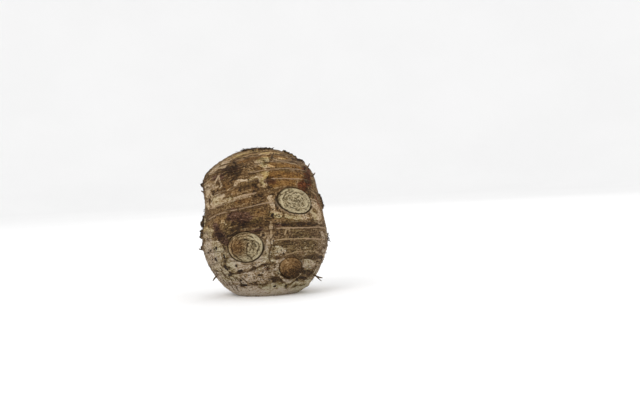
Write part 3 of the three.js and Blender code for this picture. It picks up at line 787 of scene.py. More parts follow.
class Paint:
    """What lies on the skin at each point: masks for the material and a lift in mm."""

    def __init__(self, skin, shape, turn, way):
        self.ring = skin.ring_of(turn, way)
        front = skin.crests(np.array([math.radians(RISE_TURN)]))[:, 0]
        self.rise = np.interp(self.ring, np.arange(len(front)), front)
        bare = skin.point(turn, way)
        self.flat = np.stack([bare[..., 0], bare[..., 1], self.rise], axis=-1)
        self.ragged = self.grain(4.0, 2.8, 4, 21)
        self.broad = self.grain(22.0, 9.0, 3, 31)
        self.away = smooth_step(0.45, 0.75, 0.5 - 0.5 * np.cos(turn))
        self.mark_rings(skin, turn, way)
        self.lay_husk(skin, turn, way)
        self.place_scars(skin, turn, way)
        self.crack_scars(skin, turn, way)
        self.raise_relief(shape, turn, way)

    def grain(self, around, up, octaves, seed, shift=0.0):
        """Fractal noise over the skin, from the lengths of its cells in millimetres."""
        return fractal(self.flat / (around, around, up) + shift, octaves, seed)

    def mark_rings(self, skin, turn, way):
        """The height of the point's band, how far it is below the ring above it, up to
        RING_REACH, how loose its husk is, 0 on a ring and 1 mid-band, and the ridge: 1 on a
        ring, falling to 0 at RIDGE_BELOW under it and RIDGE_ABOVE over it."""
        crests = skin.crests(turn)
        index = np.minimum(np.floor(self.ring).astype(int), len(crests) - 2)
        low = np.take_along_axis(crests, index[None], axis=0)[0]
        high = np.take_along_axis(crests, index[None] + 1, axis=0)[0]
        self.band = high - low
        fraction = self.ring % 1.0
        self.loose = (4 * fraction * (1 - fraction)) ** 0.4
        above = np.where(index > 0, way - low, RING_REACH)
        below = np.clip(high - way, 0, RING_REACH)
        self.below = np.where(index < len(crests) - 2, below, RING_REACH)
        climb = np.maximum(1 - self.below / RIDGE_BELOW, 1 - above / RIDGE_ABOVE)
        self.ridge = np.clip(climb, 0, 1)

    def lay_husk(self, skin, turn, way):
        """Husk, bare cork, stains, pores and worn rings, from the strokes on the front and
        from noise on the back. The strokes' edges wander, except on the rings and pores."""
        warp = fractal(np.stack([self.flat + 40, self.flat - 40]) / 6.0, 2, 22)
        girth = np.maximum(skin.radius(way), 6.0)
        ring = self.ring + 0.9 * self.loose * warp[0] / self.band
        warped = (turn + 1.6 * warp[1] / girth, ring, girth, self.band)
        exact = (turn, self.ring, girth, self.band)
        edge = 0.6 * self.ragged

        def lay(strokes, ragged=edge, soft=HUSK_EDGE):
            return stroked(strokes, *warped, ragged, soft)

        drift = 0.35 * warp[0][..., None]
        patches = self.grain(10.0, 6.0, 4, 33, drift)
        stains = self.grain(9.0, 3.6, 4, 34, drift)
        fresh = self.grain(18.0, 6.0, 3, 35, drift)
        bruised = self.grain(11.0, 6.0, 3, 36, drift)
        away = self.away
        cork = lay(BARE_CORK + SIDE_CORK)
        dark = np.maximum(lay(DARK_HUSK + SIDE_DARK), 0.8 * away * smooth_step(0.15, 0.5, stains))
        self.gold = np.maximum(lay(GOLDEN_HUSK), away * smooth_step(0.0, 0.4, fresh))
        self.plum = np.maximum(lay(PLUM_HUSK), away * smooth_step(0.25, 0.5, bruised))
        self.red = np.maximum(lay(RED_HUSK), 0.5 * away * smooth_step(0.3, 0.5, -bruised))
        self.moss = lay(OLIVE_HUSK)
        self.wrinkled = lay(WRINKLED)
        self.lines = lay(STRIATED)
        self.dots = lay(DOTTED)
        self.pale = lay(PALE_LINES, 0.25 * self.ragged, LINE_EDGE)
        self.wrinkle = lay(WRINKLES, 0.25 * self.ragged, LINE_EDGE)
        self.crust = lay(CRUSTS, 1.6 * edge, CRUST_EDGE)
        self.worn = stroked(WORN_RINGS + SIDE_RINGS, *exact, edge, HUSK_EDGE)
        pore = stroked(PORES + SIDE_PORES, *exact, 0.5 * edge, PORE_EDGE)
        self.pore = np.maximum(pore, self.crust)
        self.dark = np.maximum(dark, self.crust)

        lower = 1 - smooth_step(2.6, 5.2, self.ring)
        self.grey = 1 - smooth_step(4.0, 6.6, self.ring)
        # base is 1 on the lowest band of skin; the material lightens it there as painted light.
        self.base = 1 - smooth_step(0.35, 1.1, self.ring)
        husk = 0.42 - 0.62 * lower + 0.35 * self.broad + 0.3 * self.ragged
        husk = husk + 0.9 * lay(BROWN_HUSK) - 1.5 * cork + 0.3 * dark
        husk = husk + away * (0.2 * lower - 0.1 + 1.1 * patches)
        self.husk = np.clip(husk, -1, 1)

    def place_scars(self, skin, turn, way):
        """The nearest scar: where on it a point lies, how brown it is there, how strong
        its groove and its lip are, and the distance out as a share of the scar's size."""
        self.share = np.full(turn.shape, FAR_OUT)
        self.scar_at = np.full(turn.shape + (3,), FAR_OUT)
        self.brown, self.groove, self.lip = np.zeros((3, *turn.shape))
        for number, scar in enumerate(SCARS):
            *_, dome, tone = scar
            x, y = skin.on_scar(scar, turn, way)
            share = np.hypot(x, y)
            nearer = share < self.share
            spot = 1 - smooth_step(0.2, 0.9, np.hypot(x + 0.45, 0.9 * (y - 0.12)))
            top = 1 - smooth_step(0.15, 0.55, np.hypot(0.7 * x, y - 0.9))
            side = np.maximum(spot, 0.5 * top) if 0.4 < tone < 0.6 else tone
            low_side = smooth_step(0.6, -0.4, y - 0.15 * x)
            left = smooth_step(-0.45, -0.85, x)
            groove = 0.25 + 0.75 * np.maximum(low_side, left)
            lip = 0.3 * low_side
            if dome > BUD_DOME:
                groove, lip = 0.7 * low_side, 0.0
            self.share = np.where(nearer, share, self.share)
            self.scar_at = np.where(nearer[..., None], scar_place(x, y, number), self.scar_at)
            self.brown = np.where(nearer, side, self.brown)
            self.groove = np.where(nearer, groove, self.groove)
            self.lip = np.where(nearer, lip, self.lip)
        self.near = 1 - smooth_step(1.22, 1.34, self.share)

    def crack_scars(self, skin, turn, way):
        """1 on a scar's cracks, and 0 from 1.5 of their half widths away."""
        self.crack = np.zeros(turn.shape)
        for index, half, *places in SCAR_CRACKS:
            x, y = skin.on_scar(SCARS[index], turn, way)
            for start, end in zip(places[:-1], places[1:]):
                far = from_stretch(x, y, start, end) / half
                self.crack = np.maximum(self.crack, 1 - smooth_step(0.6, 1.5, far))

    def raise_relief(self, shape, turn, way):
        """The lift is the sum of ring ridges, the swell between rings, folds, lumps, husk,
        clots and crusts, less pores and pits, and it fades out on the scars and at the rim.
        The bed is how far the skin sinks under a scar's patch."""
        clear = smooth_step(1.04, 1.4, self.share)
        around = np.stack([np.cos(turn) * 1.7, np.sin(turn) * 1.7], axis=-1)
        band = np.concatenate([around, np.floor(self.ring)[..., None] * 7.7], axis=-1)
        self.layer = noise(band, 42) * (1 + 0.9 * self.away)
        self.crest = self.ridge * clear * (0.2 + 0.8 * self.worn)
        ridge = shape.ridge / MM * self.ridge * (0.62 + 0.38 * self.grain(7.0, 5.0, 1, 41))
        swell = shape.band_swell / MM * np.sin(np.pi * (self.ring % 1.0)) ** 0.8
        folds = FOLDS * self.grain(13.0, 1.4, 3, 51)
        lumps = LUMPS * self.broad + SMALL_LUMPS * self.ragged
        sheet = SHEET * smooth_step(-0.1, 0.14, self.husk)
        clots = CLOTS * self.dark * smooth_step(-0.1, 0.5, self.ragged)
        crusts = CRUST_HEIGHT * self.crust * (0.8 + 0.4 * self.grain(1.6, 1.2, 1, 62))
        pits = PITS * smooth_step(0.5, 0.72, self.grain(1.9, 1.9, 1, 61)) + PORE_DEPTH * self.pore
        lift = ridge + swell + folds + lumps + sheet + clots - pits
        self.lift = (lift * (0.25 + 0.75 * clear) + crusts) * smooth_step(0.0, 2.5, way)
        self.bed = -BED_DEPTH * (1 - smooth_step(1.02, 1.15, self.share))

    def masks(self, before=0, after=0):
        """The masks for a closed grid's vertices: before is the number of rows that take
        the first row's values, after the number that take the last row's, and each of the
        two poles takes the mean of the row next to it."""
        fields = {name: getattr(self, name) for name in MASKS}
        fields["rise"] = self.rise * MM
        masks = {}
        for name, values in fields.items():
            first = np.repeat(values[:1], before, axis=0)
            last = np.repeat(values[-1:], after, axis=0)
            poles = [values[0].mean(), values[-1].mean()]
            flat = np.concatenate([first, values, last]).ravel()
            masks[name] = np.concatenate([flat, poles])
        return masks


def grid_quads(rows, columns):
    """Faces of a grid whose columns close on themselves."""
    row = np.arange(rows - 1)[:, None] * columns
    here = np.arange(columns)[None]
    there = (here + 1) % columns
    above = row + columns
    quads = np.stack([row + here, row + there, above + there, above + here], axis=-1)
    return quads.reshape(-1, 4)


def fan(centre, ring_start, columns, inward):
    """Triangles from a pole to the ring of vertices round it."""
    here = np.arange(columns)
    there = (here + 1) % columns
    pole = np.full(columns, centre)
    edge = (there, here) if inward else (here, there)
    return np.stack([pole, ring_start + edge[0], ring_start + edge[1]], axis=-1)


def closed_grid(rows, columns, copies=1, flipped=False):
    """Faces of a grid that closes round its columns, and a fan from each end row to a pole,
    the poles being the two vertices after the grid's. Each copy's vertices follow the last
    one's, and flipped faces point the other way."""
    quads = grid_quads(rows, columns)
    if flipped:
        quads = quads[:, ::-1]
    pole, last_row = rows * columns, (rows - 1) * columns
    first = fan(pole, 0, columns, not flipped)
    last = fan(pole + 1, last_row, columns, flipped)
    offset = np.arange(copies)[:, None, None] * (pole + 2)
    triangles = np.concatenate([first, last]) + offset
    return (quads + offset).reshape(-1, 4), triangles.reshape(-1, 3)


def make_mesh(name, points, quads, triangles, masks, material):
    """A mesh object at the origin from whole arrays: points in millimetres, four- and
    three-sided faces, and one value or vector a vertex for each mask."""
    mesh = bpy.data.meshes.new(name)
    mesh.vertices.add(len(points))
    mesh.vertices.foreach_set("co", (points * MM).astype(np.float32).ravel())
    corners = np.concatenate([quads.ravel(), triangles.ravel()]).astype(np.int32)
    sizes = np.repeat([4, 3], [len(quads), len(triangles)]).astype(np.int32)
    starts = np.concatenate([[0], np.cumsum(sizes)[:-1]]).astype(np.int32)
    mesh.loops.add(len(corners))
    mesh.loops.foreach_set("vertex_index", corners)
    mesh.polygons.add(len(sizes))
    mesh.polygons.foreach_set("loop_start", starts)
    mesh.polygons.foreach_set("loop_total", sizes)
    mesh.polygons.foreach_set("use_smooth", np.ones(len(sizes), bool))
    for key, values in masks.items():
        kind, field = ("FLOAT_VECTOR", "vector") if values.ndim == 2 else ("FLOAT", "value")
        layer = mesh.attributes.new(key, kind, "POINT")
        layer.data.foreach_set(field, values.astype(np.float32).ravel())
    mesh.update(calc_edges=True)
    mesh.validate()
    mesh.materials.append(material)
    made = bpy.data.objects.new(name, mesh)
    bpy.context.scene.collection.objects.link(made)
    return made


def carry(piece):
    """The piece moves with the corm."""
    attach(piece, "root")


class Wiring:
    """Adds nodes to a node tree, each input given as a value or as another's output."""

    def __init__(self, tree):
        self.tree = tree

    def add(self, kind, inputs=None, **settings):
        node = self.tree.nodes.new(kind)
        for key, value in settings.items():
            setattr(node, key, value)
        for key, value in (inputs or {}).items():
            self.feed(node.inputs[key], value)
        return node

    def feed(self, socket, value):
        """Links an output, or sets a value. A colour's three parts are given alpha 1."""
        if isinstance(value, bpy.types.NodeSocket):
            self.tree.links.new(value, socket)
        else:
            socket.default_value = (*value[:3], 1.0) if socket.type == "RGBA" else value

    def group(self, group, **inputs):
        return self.add("ShaderNodeGroup", inputs, node_tree=group).outputs

    def maths(self, operation, *values):
        return self.add("ShaderNodeMath", dict(enumerate(values)), operation=operation).outputs[0]

    def total(self, *values):
        """The sum of the values."""
        return functools.reduce(lambda a, b: self.maths("ADD", a, b), values)

    def times(self, *values):
        """The product of the values."""
        return functools.reduce(lambda a, b: self.maths("MULTIPLY", a, b), values)

    def rest(self, value):
        """What is left of 1."""
        return self.maths("SUBTRACT", 1.0, value)

    def swing(self, noise, gain):
        """A noise's departure from its middle, times the gain."""
        return self.times(self.maths("SUBTRACT", noise, 0.5), gain)

    def between(self, value, low, high):
        """Smoothly 0 at low and 1 at high."""
        inputs = {"Value": value, "From Min": low, "From Max": high}
        return self.add("ShaderNodeMapRange", inputs, interpolation_type="SMOOTHSTEP").outputs[0]

    def span(self, value, start, end):
        """Evenly from start, where the value is 0, to end, where it is 1."""
        inputs = {"Value": value, "To Min": start, "To Max": end}
        return self.add("ShaderNodeMapRange", inputs).outputs[0]

    def mix(self, share, a, b, blend="MIX"):
        inputs = {0: share, 6: a, 7: b}
        return self.add("ShaderNodeMix", inputs, data_type="RGBA", blend_type=blend).outputs[2]

    def ramp(self, value, *colours):
        """The colours in turn, evenly spaced from 0 to 1."""
        node = self.add("ShaderNodeValToRGB", {"Fac": value})
        stops = node.color_ramp.elements
        while len(stops) < len(colours):
            stops.new(0.5)
        for index, colour in enumerate(colours):
            stops[index].position = index / (len(colours) - 1)
            stops[index].color = (*colour, 1.0)
        return node.outputs[0]

    def noise(self, vector, scale, detail, roughness=0.55):
        inputs = {"Vector": vector, "Scale": scale, "Detail": detail, "Roughness": roughness}
        return self.add("ShaderNodeTexNoise", inputs).outputs["Fac"]

    def stretch(self, vector, around, up):
        inputs = {0: vector, 1: (around, around, up)}
        return self.add("ShaderNodeVectorMath", inputs, operation="MULTIPLY").outputs[0]

    def field(self, name, output="Fac"):
        """A mask of the mesh."""
        return self.add("ShaderNodeAttribute", attribute_name=name).outputs[output]

    def apart(self, vector):
        return self.add("ShaderNodeSeparateXYZ", {0: vector}).outputs

    def joined(self, x, y, z):
        return self.add("ShaderNodeCombineXYZ", {0: x, 1: y, 2: z}).outputs[0]

    def place(self):
        return self.add("ShaderNodeTexCoord").outputs["Object"]

    def rings(self, place):
        """Object coordinates whose height is swapped for the way up the rings."""
        x, y, _ = self.apart(place)
        return self.joined(x, y, self.field("rise"))

    def bump(self, height, strength, distance):
        inputs = {"Height": height, "Strength": strength, "Distance": distance}
        return self.add("ShaderNodeBump", inputs).outputs[0]


def new_group(name, inputs, outputs):
    """A shader node group of numbers. An input whose default is None is a vector."""
    group = bpy.data.node_groups.new(name, "ShaderNodeTree")
    for label, default in inputs.items():
        kind = "NodeSocketVector" if default is None else "NodeSocketFloat"
        socket = group.interface.new_socket(label, in_out="INPUT", socket_type=kind)
        if default is not None:
            socket.default_value = default
    for label in outputs:
        group.interface.new_socket(label, in_out="OUTPUT", socket_type="NodeSocketFloat")
    w = Wiring(group)
    return group, w, w.add("NodeGroupInput").outputs, w.add("NodeGroupOutput").inputs


def fibre_group():
    """Threads that run with the rings and across them, blotches and mottling, from skin
    coordinates whose third part follows the rings."""
    defaults = {"Skin": None, "Fineness": 1.0}
    group, w, source, sink = new_group("corm_fibres", defaults, FIBRE_NOISES)
    inputs = {0: source["Skin"], "Scale": source["Fineness"]}
    scaled = w.add("ShaderNodeVectorMath", inputs, operation="SCALE").outputs[0]
    for name, (around, up, detail, roughness) in FIBRE_NOISES.items():
        w.feed(sink[name], w.noise(w.stretch(scaled, around, up), 1.0, detail, roughness))
    return group


def speckle_group():
    """Small specks with uneven edges: the cells of a Voronoi pattern that are let show."""
    defaults = {"Skin": None, "Cells": 700.0, "Size": 0.32, "Shown": 0.5}
    group, w, source, sink = new_group("corm_specks", defaults, ["Speck"])
    skin, size = source["Skin"], source["Size"]
    cells = w.add("ShaderNodeTexVoronoi", {"Vector": skin, "Scale": source["Cells"]}).outputs
    reach = w.total(cells["Distance"], w.swing(w.noise(skin, 1300.0, 2), 0.5))
    dot = w.between(reach, size, w.times(size, 0.55))
    pick = w.add("ShaderNodeSeparateColor", {"Color": cells["Color"]}).outputs[0]
    w.feed(sink["Speck"], w.times(dot, w.maths("LESS_THAN", pick, source["Shown"])))
    return group


def scar_group():
    """A bud scar from its own coordinates: the disc, its smooth margin, broken concentric
    lines of cut vessels, the groove round it, the pale lip outside that, and painted shading
    that is lighter towards the scar's upper left and darker towards its lower right."""
    marks = ("Disc", "Margin", "Arcs", "Vessels", "Groove", "Lip", "Shade")
    defaults = {"Place": None, "Skin": None, "Deep": 1.0, "Near": 1.0}
    group, w, source, sink = new_group("bud_scar_marks", defaults, marks)
    x, y, kind = w.apart(source["Place"])
    out = w.maths("SQRT", w.total(w.times(x, x), w.times(y, y)))
    away = w.maths("MULTIPLY_ADD", source["Near"], -2.0, 2.0)
    share = w.total(out, w.swing(w.noise(source["Skin"], 240.0, 3), 0.06), away)
    disc = w.between(share, 0.985, 0.955)
    margin = w.times(w.between(share, 0.74, 0.82), disc)
    inner = w.maths("SUBTRACT", 0.95, w.times(source["Deep"], 0.045))
    outer = w.between(share, 1.03, 1.0)
    groove = w.times(w.between(share, inner, w.total(inner, 0.03)), outer)
    lip = w.times(w.between(share, 0.99, 1.02), w.between(share, 1.2, 1.06))
    safe = w.maths("MAXIMUM", out, 0.05)
    depth = w.total(w.times(share, 9.5), kind)
    round_way = w.joined(w.maths("DIVIDE", x, safe), w.maths("DIVIDE", y, safe), depth)
    arcs = w.noise(w.stretch(round_way, 1.3, 1.0), 1.0, 3, 0.6)
    inputs = {"Vector": w.stretch(round_way, 3.6, 0.85), "Scale": 1.0}
    cells = w.add("ShaderNodeTexVoronoi", inputs).outputs
    pick = w.add("ShaderNodeSeparateColor", {"Color": cells["Color"]}).outputs[0]
    dashes = w.times(w.between(cells["Distance"], 0.52, 0.3), w.maths("LESS_THAN", pick, 0.55))
    vessels = w.times(dashes, w.between(share, 0.86, 0.78))
    # Painted shading: lighter towards the scar's upper left, darker towards its lower right.
    painted_shading = w.total(w.times(x, -0.46), w.times(y, 0.12))
    for mark, value in zip(marks, (disc, margin, arcs, vessels, groove, lip, painted_shading)):
        w.feed(sink[mark], value)
    return group


def new_surface(name, specular):
    """A material, the wiring of its tree, and its shader's inputs."""
    material = bpy.data.materials.new(name)
    material.use_nodes = True
    surface = material.node_tree.nodes["Principled BSDF"].inputs
    surface["Specular IOR Level"].default_value = specular
    return Wiring(material.node_tree), surface, material


def skin_noises(w, fibres, specks):
    """What the parts of the skin's finish share: its coordinates, noises and specks."""
    n = SimpleNamespace(place=w.place())
    n.skin = w.rings(n.place)
    n.along, n.across, n.blotch, n.mottle, n.streak = w.group(fibres, Skin=n.skin, Fineness=1.0)
    n.fine = w.noise(n.place, 1500.0, 3, 0.7)
    crowd = w.times(w.field("dots"), 0.45)
    shown = w.total(crowd, 0.1)
    n.dots = w.group(specks, Skin=n.skin, Cells=480.0, Size=0.36, Shown=shown)[0]
    shown = w.total(crowd, 0.22)
    n.grains = w.group(specks, Skin=n.skin, Cells=900.0, Size=0.45, Shown=shown)[0]
    n.tear = w.total(w.swing(n.blotch, 2.1), w.swing(n.along, 0.5), w.swing(n.mottle, 0.9))
    n.uneven = w.total(w.swing(n.blotch, 0.5), w.swing(n.mottle, 0.6))
    return n


def husk_tones(w, look, n):
    """One scale of tones from soil-dark to pale cork. The husk sits low on it and bare cork
    high, both moved up and down by threads, blotches and mottling."""
    n.covered = w.between(w.total(w.field("husk"), n.tear), -0.1, 0.12)
    n.clotted = w.between(w.total(w.field("dark"), w.times(n.tear, 1.3)), 0.3, 0.85)
    gold = w.field("gold")
    pepper = w.total(w.swing(n.mottle, 2.2), w.swing(n.fine, 1.3))
    level = w.total(
        w.span(n.covered, 0.84, 0.39),
        w.swing(n.blotch, 1.0),
        w.swing(n.along, 0.6),
        w.times(pepper, w.rest(w.times(gold, 0.45))),
        w.times(w.swing(n.streak, 1.0), n.covered),
        w.times(gold, 0.05),
        # Painted light: the bottom band of the skin is made lighter, to offset the floor's shade
        # near the cut.
        w.times(w.field("base"), 0.2),
        w.times(w.field("layer"), n.covered, 0.11),
        w.times(n.clotted, -0.36),
        # Painted shadow: a dark band along the husk's torn edge, where it changes from covered to
        # bare.
        w.times(n.covered, w.rest(n.covered), -0.9),
        w.times(n.grains, -0.26),
    )
    colour = w.ramp(level, *husk_colours(look), look.cork_pale)
    return w.mix(gold, colour, look.gold, "MULTIPLY")


def husk_colours(look):
    return look.soil, look.husk_dark, look.husk, look.husk_light, look.cork


def stained(w, look, n, colour):
    """Plum, rust, olive and grey places, each of which multiplies the husk's tones."""
    for stain, strength in (("plum", 0.85), ("red", 0.9)):
        share = w.between(w.total(w.field(stain), n.tear), 0.2, 0.7)
        colour = w.mix(w.times(share, strength), colour, getattr(look, stain), "MULTIPLY")
    moss = w.times(w.between(w.noise(n.place, 55.0, 2), 0.5, 0.66), 0.5)
    olive = w.times(w.between(w.total(w.field("moss"), n.tear), 0.1, 0.8), 0.75)
    colour = w.mix(w.maths("MAXIMUM", moss, olive), colour, look.olive, "MULTIPLY")
    return w.mix(w.field("grey"), colour, look.grey, "MULTIPLY")


def lined(w, look, n, colour):
    """Striations along the rings and pale lines of worn skin."""
    wave = w.maths("SINE", w.total(w.times(w.field("rise"), 3000.0), w.swing(n.blotch, 7.0)))
    n.thin = w.times(w.between(wave, 0.2, 0.8), w.between(w.field("lines"), 0.1, 0.6))
    colour = w.mix(w.times(n.thin, 0.9), colour, look.husk_dark)
    pale = w.field("pale")
    bare = w.mix(w.between(pale, 0.8, 0.95), look.cork, look.cork_pale)
    return w.mix(w.times(w.between(w.total(pale, n.uneven), 0.45, 0.7), 0.8), colour, bare)


def wrinkled(w, look, n, colour):
    """Dark wrinkles: drawn ones, and folds that run up the skin by the sine of a bearing."""
    x, y, _ = w.apart(n.place)
    bearing = w.times(w.maths("ARCTAN2", x, y), 44.0)
    fold = w.maths("SINE", w.total(bearing, w.swing(n.blotch, 9.0), w.swing(n.along, 3.0)))
    fold = w.between(w.total(fold, w.swing(n.mottle, 1.4)), 0.3, 0.9)
    fold = w.times(fold, w.between(w.field("wrinkled"), 0.15, 0.6))
    drawn = w.between(w.total(w.field("wrinkle"), n.uneven), 0.42, 0.62)
    n.wrinkle = w.maths("MAXIMUM", drawn, fold)
    return w.mix(w.times(n.wrinkle, 0.85), colour, look.husk_dark)


def ringed(w, look, n, colour):
    """Pores and dots, painted shadow along the underside of each ring, and its pale worn crest."""
    colour = w.mix(w.times(n.dots, 0.85), colour, look.pore)
    pore = w.between(w.total(w.field("pore"), n.uneven), 0.35, 0.7)
    colour = w.mix(pore, colour, look.pore)
    crest = w.field("crest")
    # Painted shadow: the skin just under each ring's crest is darkened, as if shaded by the ridge,
    # in broken places along it.
    under = w.times(w.between(w.field("below"), 2.2, 0.7), w.between(n.along, 0.36, 0.54))
    under = w.times(under, w.between(crest, 0.6, 0.4), 0.6)
    colour = w.mix(under, colour, look.husk_dark)
    line = w.total(crest, w.swing(n.blotch, 1.1), w.swing(n.mottle, 0.9))
    return w.mix(w.times(w.between(line, 0.44, 0.66), 0.88), colour, look.ring_line)


def scarred(w, look, n, marks, colour):
    """Bud scars: the disc with its arcs, margin, cracks and vessels, its lip and groove, and
    painted shading over the disc.
    """
    deep, brown, at = w.field("groove"), w.field("brown"), w.field("scar_at", "Vector")
    scar = w.group(marks, Place=at, Skin=n.place, Deep=deep, Near=w.field("near"))
    n.vessels = scar["Vessels"]
    n.groove = w.times(scar["Groove"], deep)
    fresh = w.rest(w.times(brown, 0.6))
    tone = w.total(
        w.span(brown, 0.76, 0.29),
        w.times(w.swing(scar["Arcs"], 2.9), fresh),
        w.swing(n.mottle, 2.4),
        w.swing(n.fine, 1.2),
        w.times(scar["Margin"], fresh, 0.14),
        # Painted shading: in full, lit from the upper left, on buds and brown scars; on fresh
        # scars a quarter of it, turned the other way, so that their left side is darker.
        w.times(w.maths("MULTIPLY_ADD", brown, 1.25, -0.25), scar["Shade"]),
        w.times(w.field("crack"), -0.5),
    )
    face = w.ramp(tone, look.soil, look.scar_dark, look.scar_brown, look.scar, look.scar_pale)
    aged = w.mix(0.3, w.ramp(tone, *husk_colours(look)), look.scar_warm, "MULTIPLY")
    face = w.mix(brown, face, aged)
    face = w.mix(w.times(n.vessels, w.times(w.rest(brown), 0.8)), face, look.vessel)
    colour = w.mix(scar["Disc"], colour, face)
    lip = w.times(scar["Lip"], w.field("lip"), w.between(n.blotch, 0.36, 0.52), 0.85)
    colour = w.mix(lip, colour, look.lip)
    return w.mix(w.times(n.groove, 0.92), colour, look.groove)


def cut_flesh(w, look, n):
    """The dried flesh of the cut, blotched and grained."""
    parts = (w.swing(n.blotch, 1.2), w.swing(n.mottle, 0.8), w.times(n.grains, -0.4))
    tones = (look.husk, look.husk_light, look.flesh_dry, look.flesh)
    return w.ramp(w.total(0.6, *parts), *tones)


def skin_material(look, fibres, specks, marks):
    """The husk's tones with stains, lines, wrinkles, rings and bud scars laid over them in
    turn, each with its relief."""
    w, surface, _ = new_surface("corm_skin", 0.12)
    n = skin_noises(w, fibres, specks)
    colour = husk_tones(w, look, n)
    for finish in (stained, lined, wrinkled, ringed):
        colour = finish(w, look, n, colour)
    colour = scarred(w, look, n, marks, colour)
    w.feed(surface["Base Color"], w.mix(w.field("cut"), colour, cut_flesh(w, look, n)))
    w.feed(surface["Roughness"], w.total(0.66, w.times(n.mottle, 0.3)))
    relief = (
        (n.covered, 0.45),
        (n.along, 0.7),
        (n.streak, 0.8),
        (n.across, 0.3),
        (n.mottle, 0.9),
        (n.fine, 0.3),
        (n.clotted, 0.4),
        (n.dots, -0.6),
        (n.thin, -0.35),
        (n.wrinkle, -0.6),
        (n.vessels, -0.45),
        (n.groove, -0.5),
    )
    height = w.total(*(w.times(part, gain) for part, gain in relief))
    w.feed(surface["Normal"], w.bump(height, 0.9, 0.0005))


def thread_material(look, fibres):
    """Dry fibre: brown to straw along its length, dull and finely grained."""
    w, surface, _ = new_surface("dry_fibre", 0.15)
    threads = w.group(fibres, Skin=w.place(), Fineness=1.6)
    colour = w.mix(w.field("tone"), look.fibre_dark, look.fibre_pale)
    patchy = w.between(threads["Blotch"], 0.35, 0.65)
    w.feed(surface["Base Color"], w.mix(w.times(patchy, 0.4), colour, look.husk_dark))
    w.feed(surface["Roughness"], w.total(0.7, w.times(threads["Across"], 0.2)))
    w.feed(surface["Normal"], w.bump(threads["Across"], 0.6, 0.0001))


def husk_material(look, fibres):
    """Loose papery husk: brown with threads along it, straw coloured at its torn edge."""
    w, surface, _ = new_surface("loose_husk", 0.15)
    along, across, blotch, *_ = w.group(fibres, Skin=w.rings(w.place()), Fineness=1.2)
    colour = w.mix(w.between(along, 0.36, 0.64), look.husk_dark, look.husk_light)
    colour = w.mix(w.between(across, 0.5, 0.7), colour, look.husk)
    colour = w.mix(w.times(w.between(w.field("tone"), 0.55, 1.0), 0.4), colour, look.ring_line)
    colour = w.mix(w.times(w.between(blotch, 0.4, 0.6), 0.4), colour, look.soil)
    w.feed(surface["Base Color"], colour)
    w.feed(surface["Roughness"], w.total(0.62, w.times(blotch, 0.3)))
    w.feed(surface["Normal"], w.bump(along, 0.7, 0.0002))


def looks():
    """The corm's materials, made once and shared by its pieces."""
    made = bpy.data.materials
    if "corm_skin" not in made:
        look = bpy.context.scene.taro_look
        fibres = fibre_group()
        skin_material(look, fibres, speckle_group(), scar_group())
        thread_material(look, fibres)
        husk_material(look, fibres)
    return made["corm_skin"], made["dry_fibre"], made["loose_husk"]


def tint(name, note, value):
    return bpy.props.FloatVectorProperty(
        name=name, description=note, subtype="COLOR", size=3, min=0, max=2, default=value
    )


def length(name, note, value):
    return bpy.props.FloatProperty(
        name=name, description=note, subtype="DISTANCE", unit="LENGTH", default=value
    )


class TaroShape(bpy.types.PropertyGroup):
    """Sizes of the corm's body."""

    width: length("Width", "Across the widest part of the barrel", 0.0875)
    height: length("Height", "From the cut to the tip", 0.102)
    depth_ratio: bpy.props.FloatProperty(
        name="Depth share", description="Front to back, as a share of the width", default=0.96
    )
    crown_lean: length("Crown lean", "How far the crown stands sideways of the cut", -0.0027)
    crown_dip: length("Crown dip", "How far the tip is flattened", 0.0013)
    shift_x: length("Middle X", "From the axis to the middle of the footprint", -0.0017156)
    shift_y: length("Middle Y", "From the axis to the middle of the footprint", 0.0002282)
    ridge: length("Ring ridge", "How far a ring stands out of the skin", 0.00075)
    band_swell: length("Band swell", "How far the skin swells between rings", 0.0005)
    columns: bpy.props.IntProperty(
        name="Columns", description="Grid lines that run up the skin", default=400
    )
    row_gap: length("Row gap", "Distance between grid lines round the skin", 0.00068)


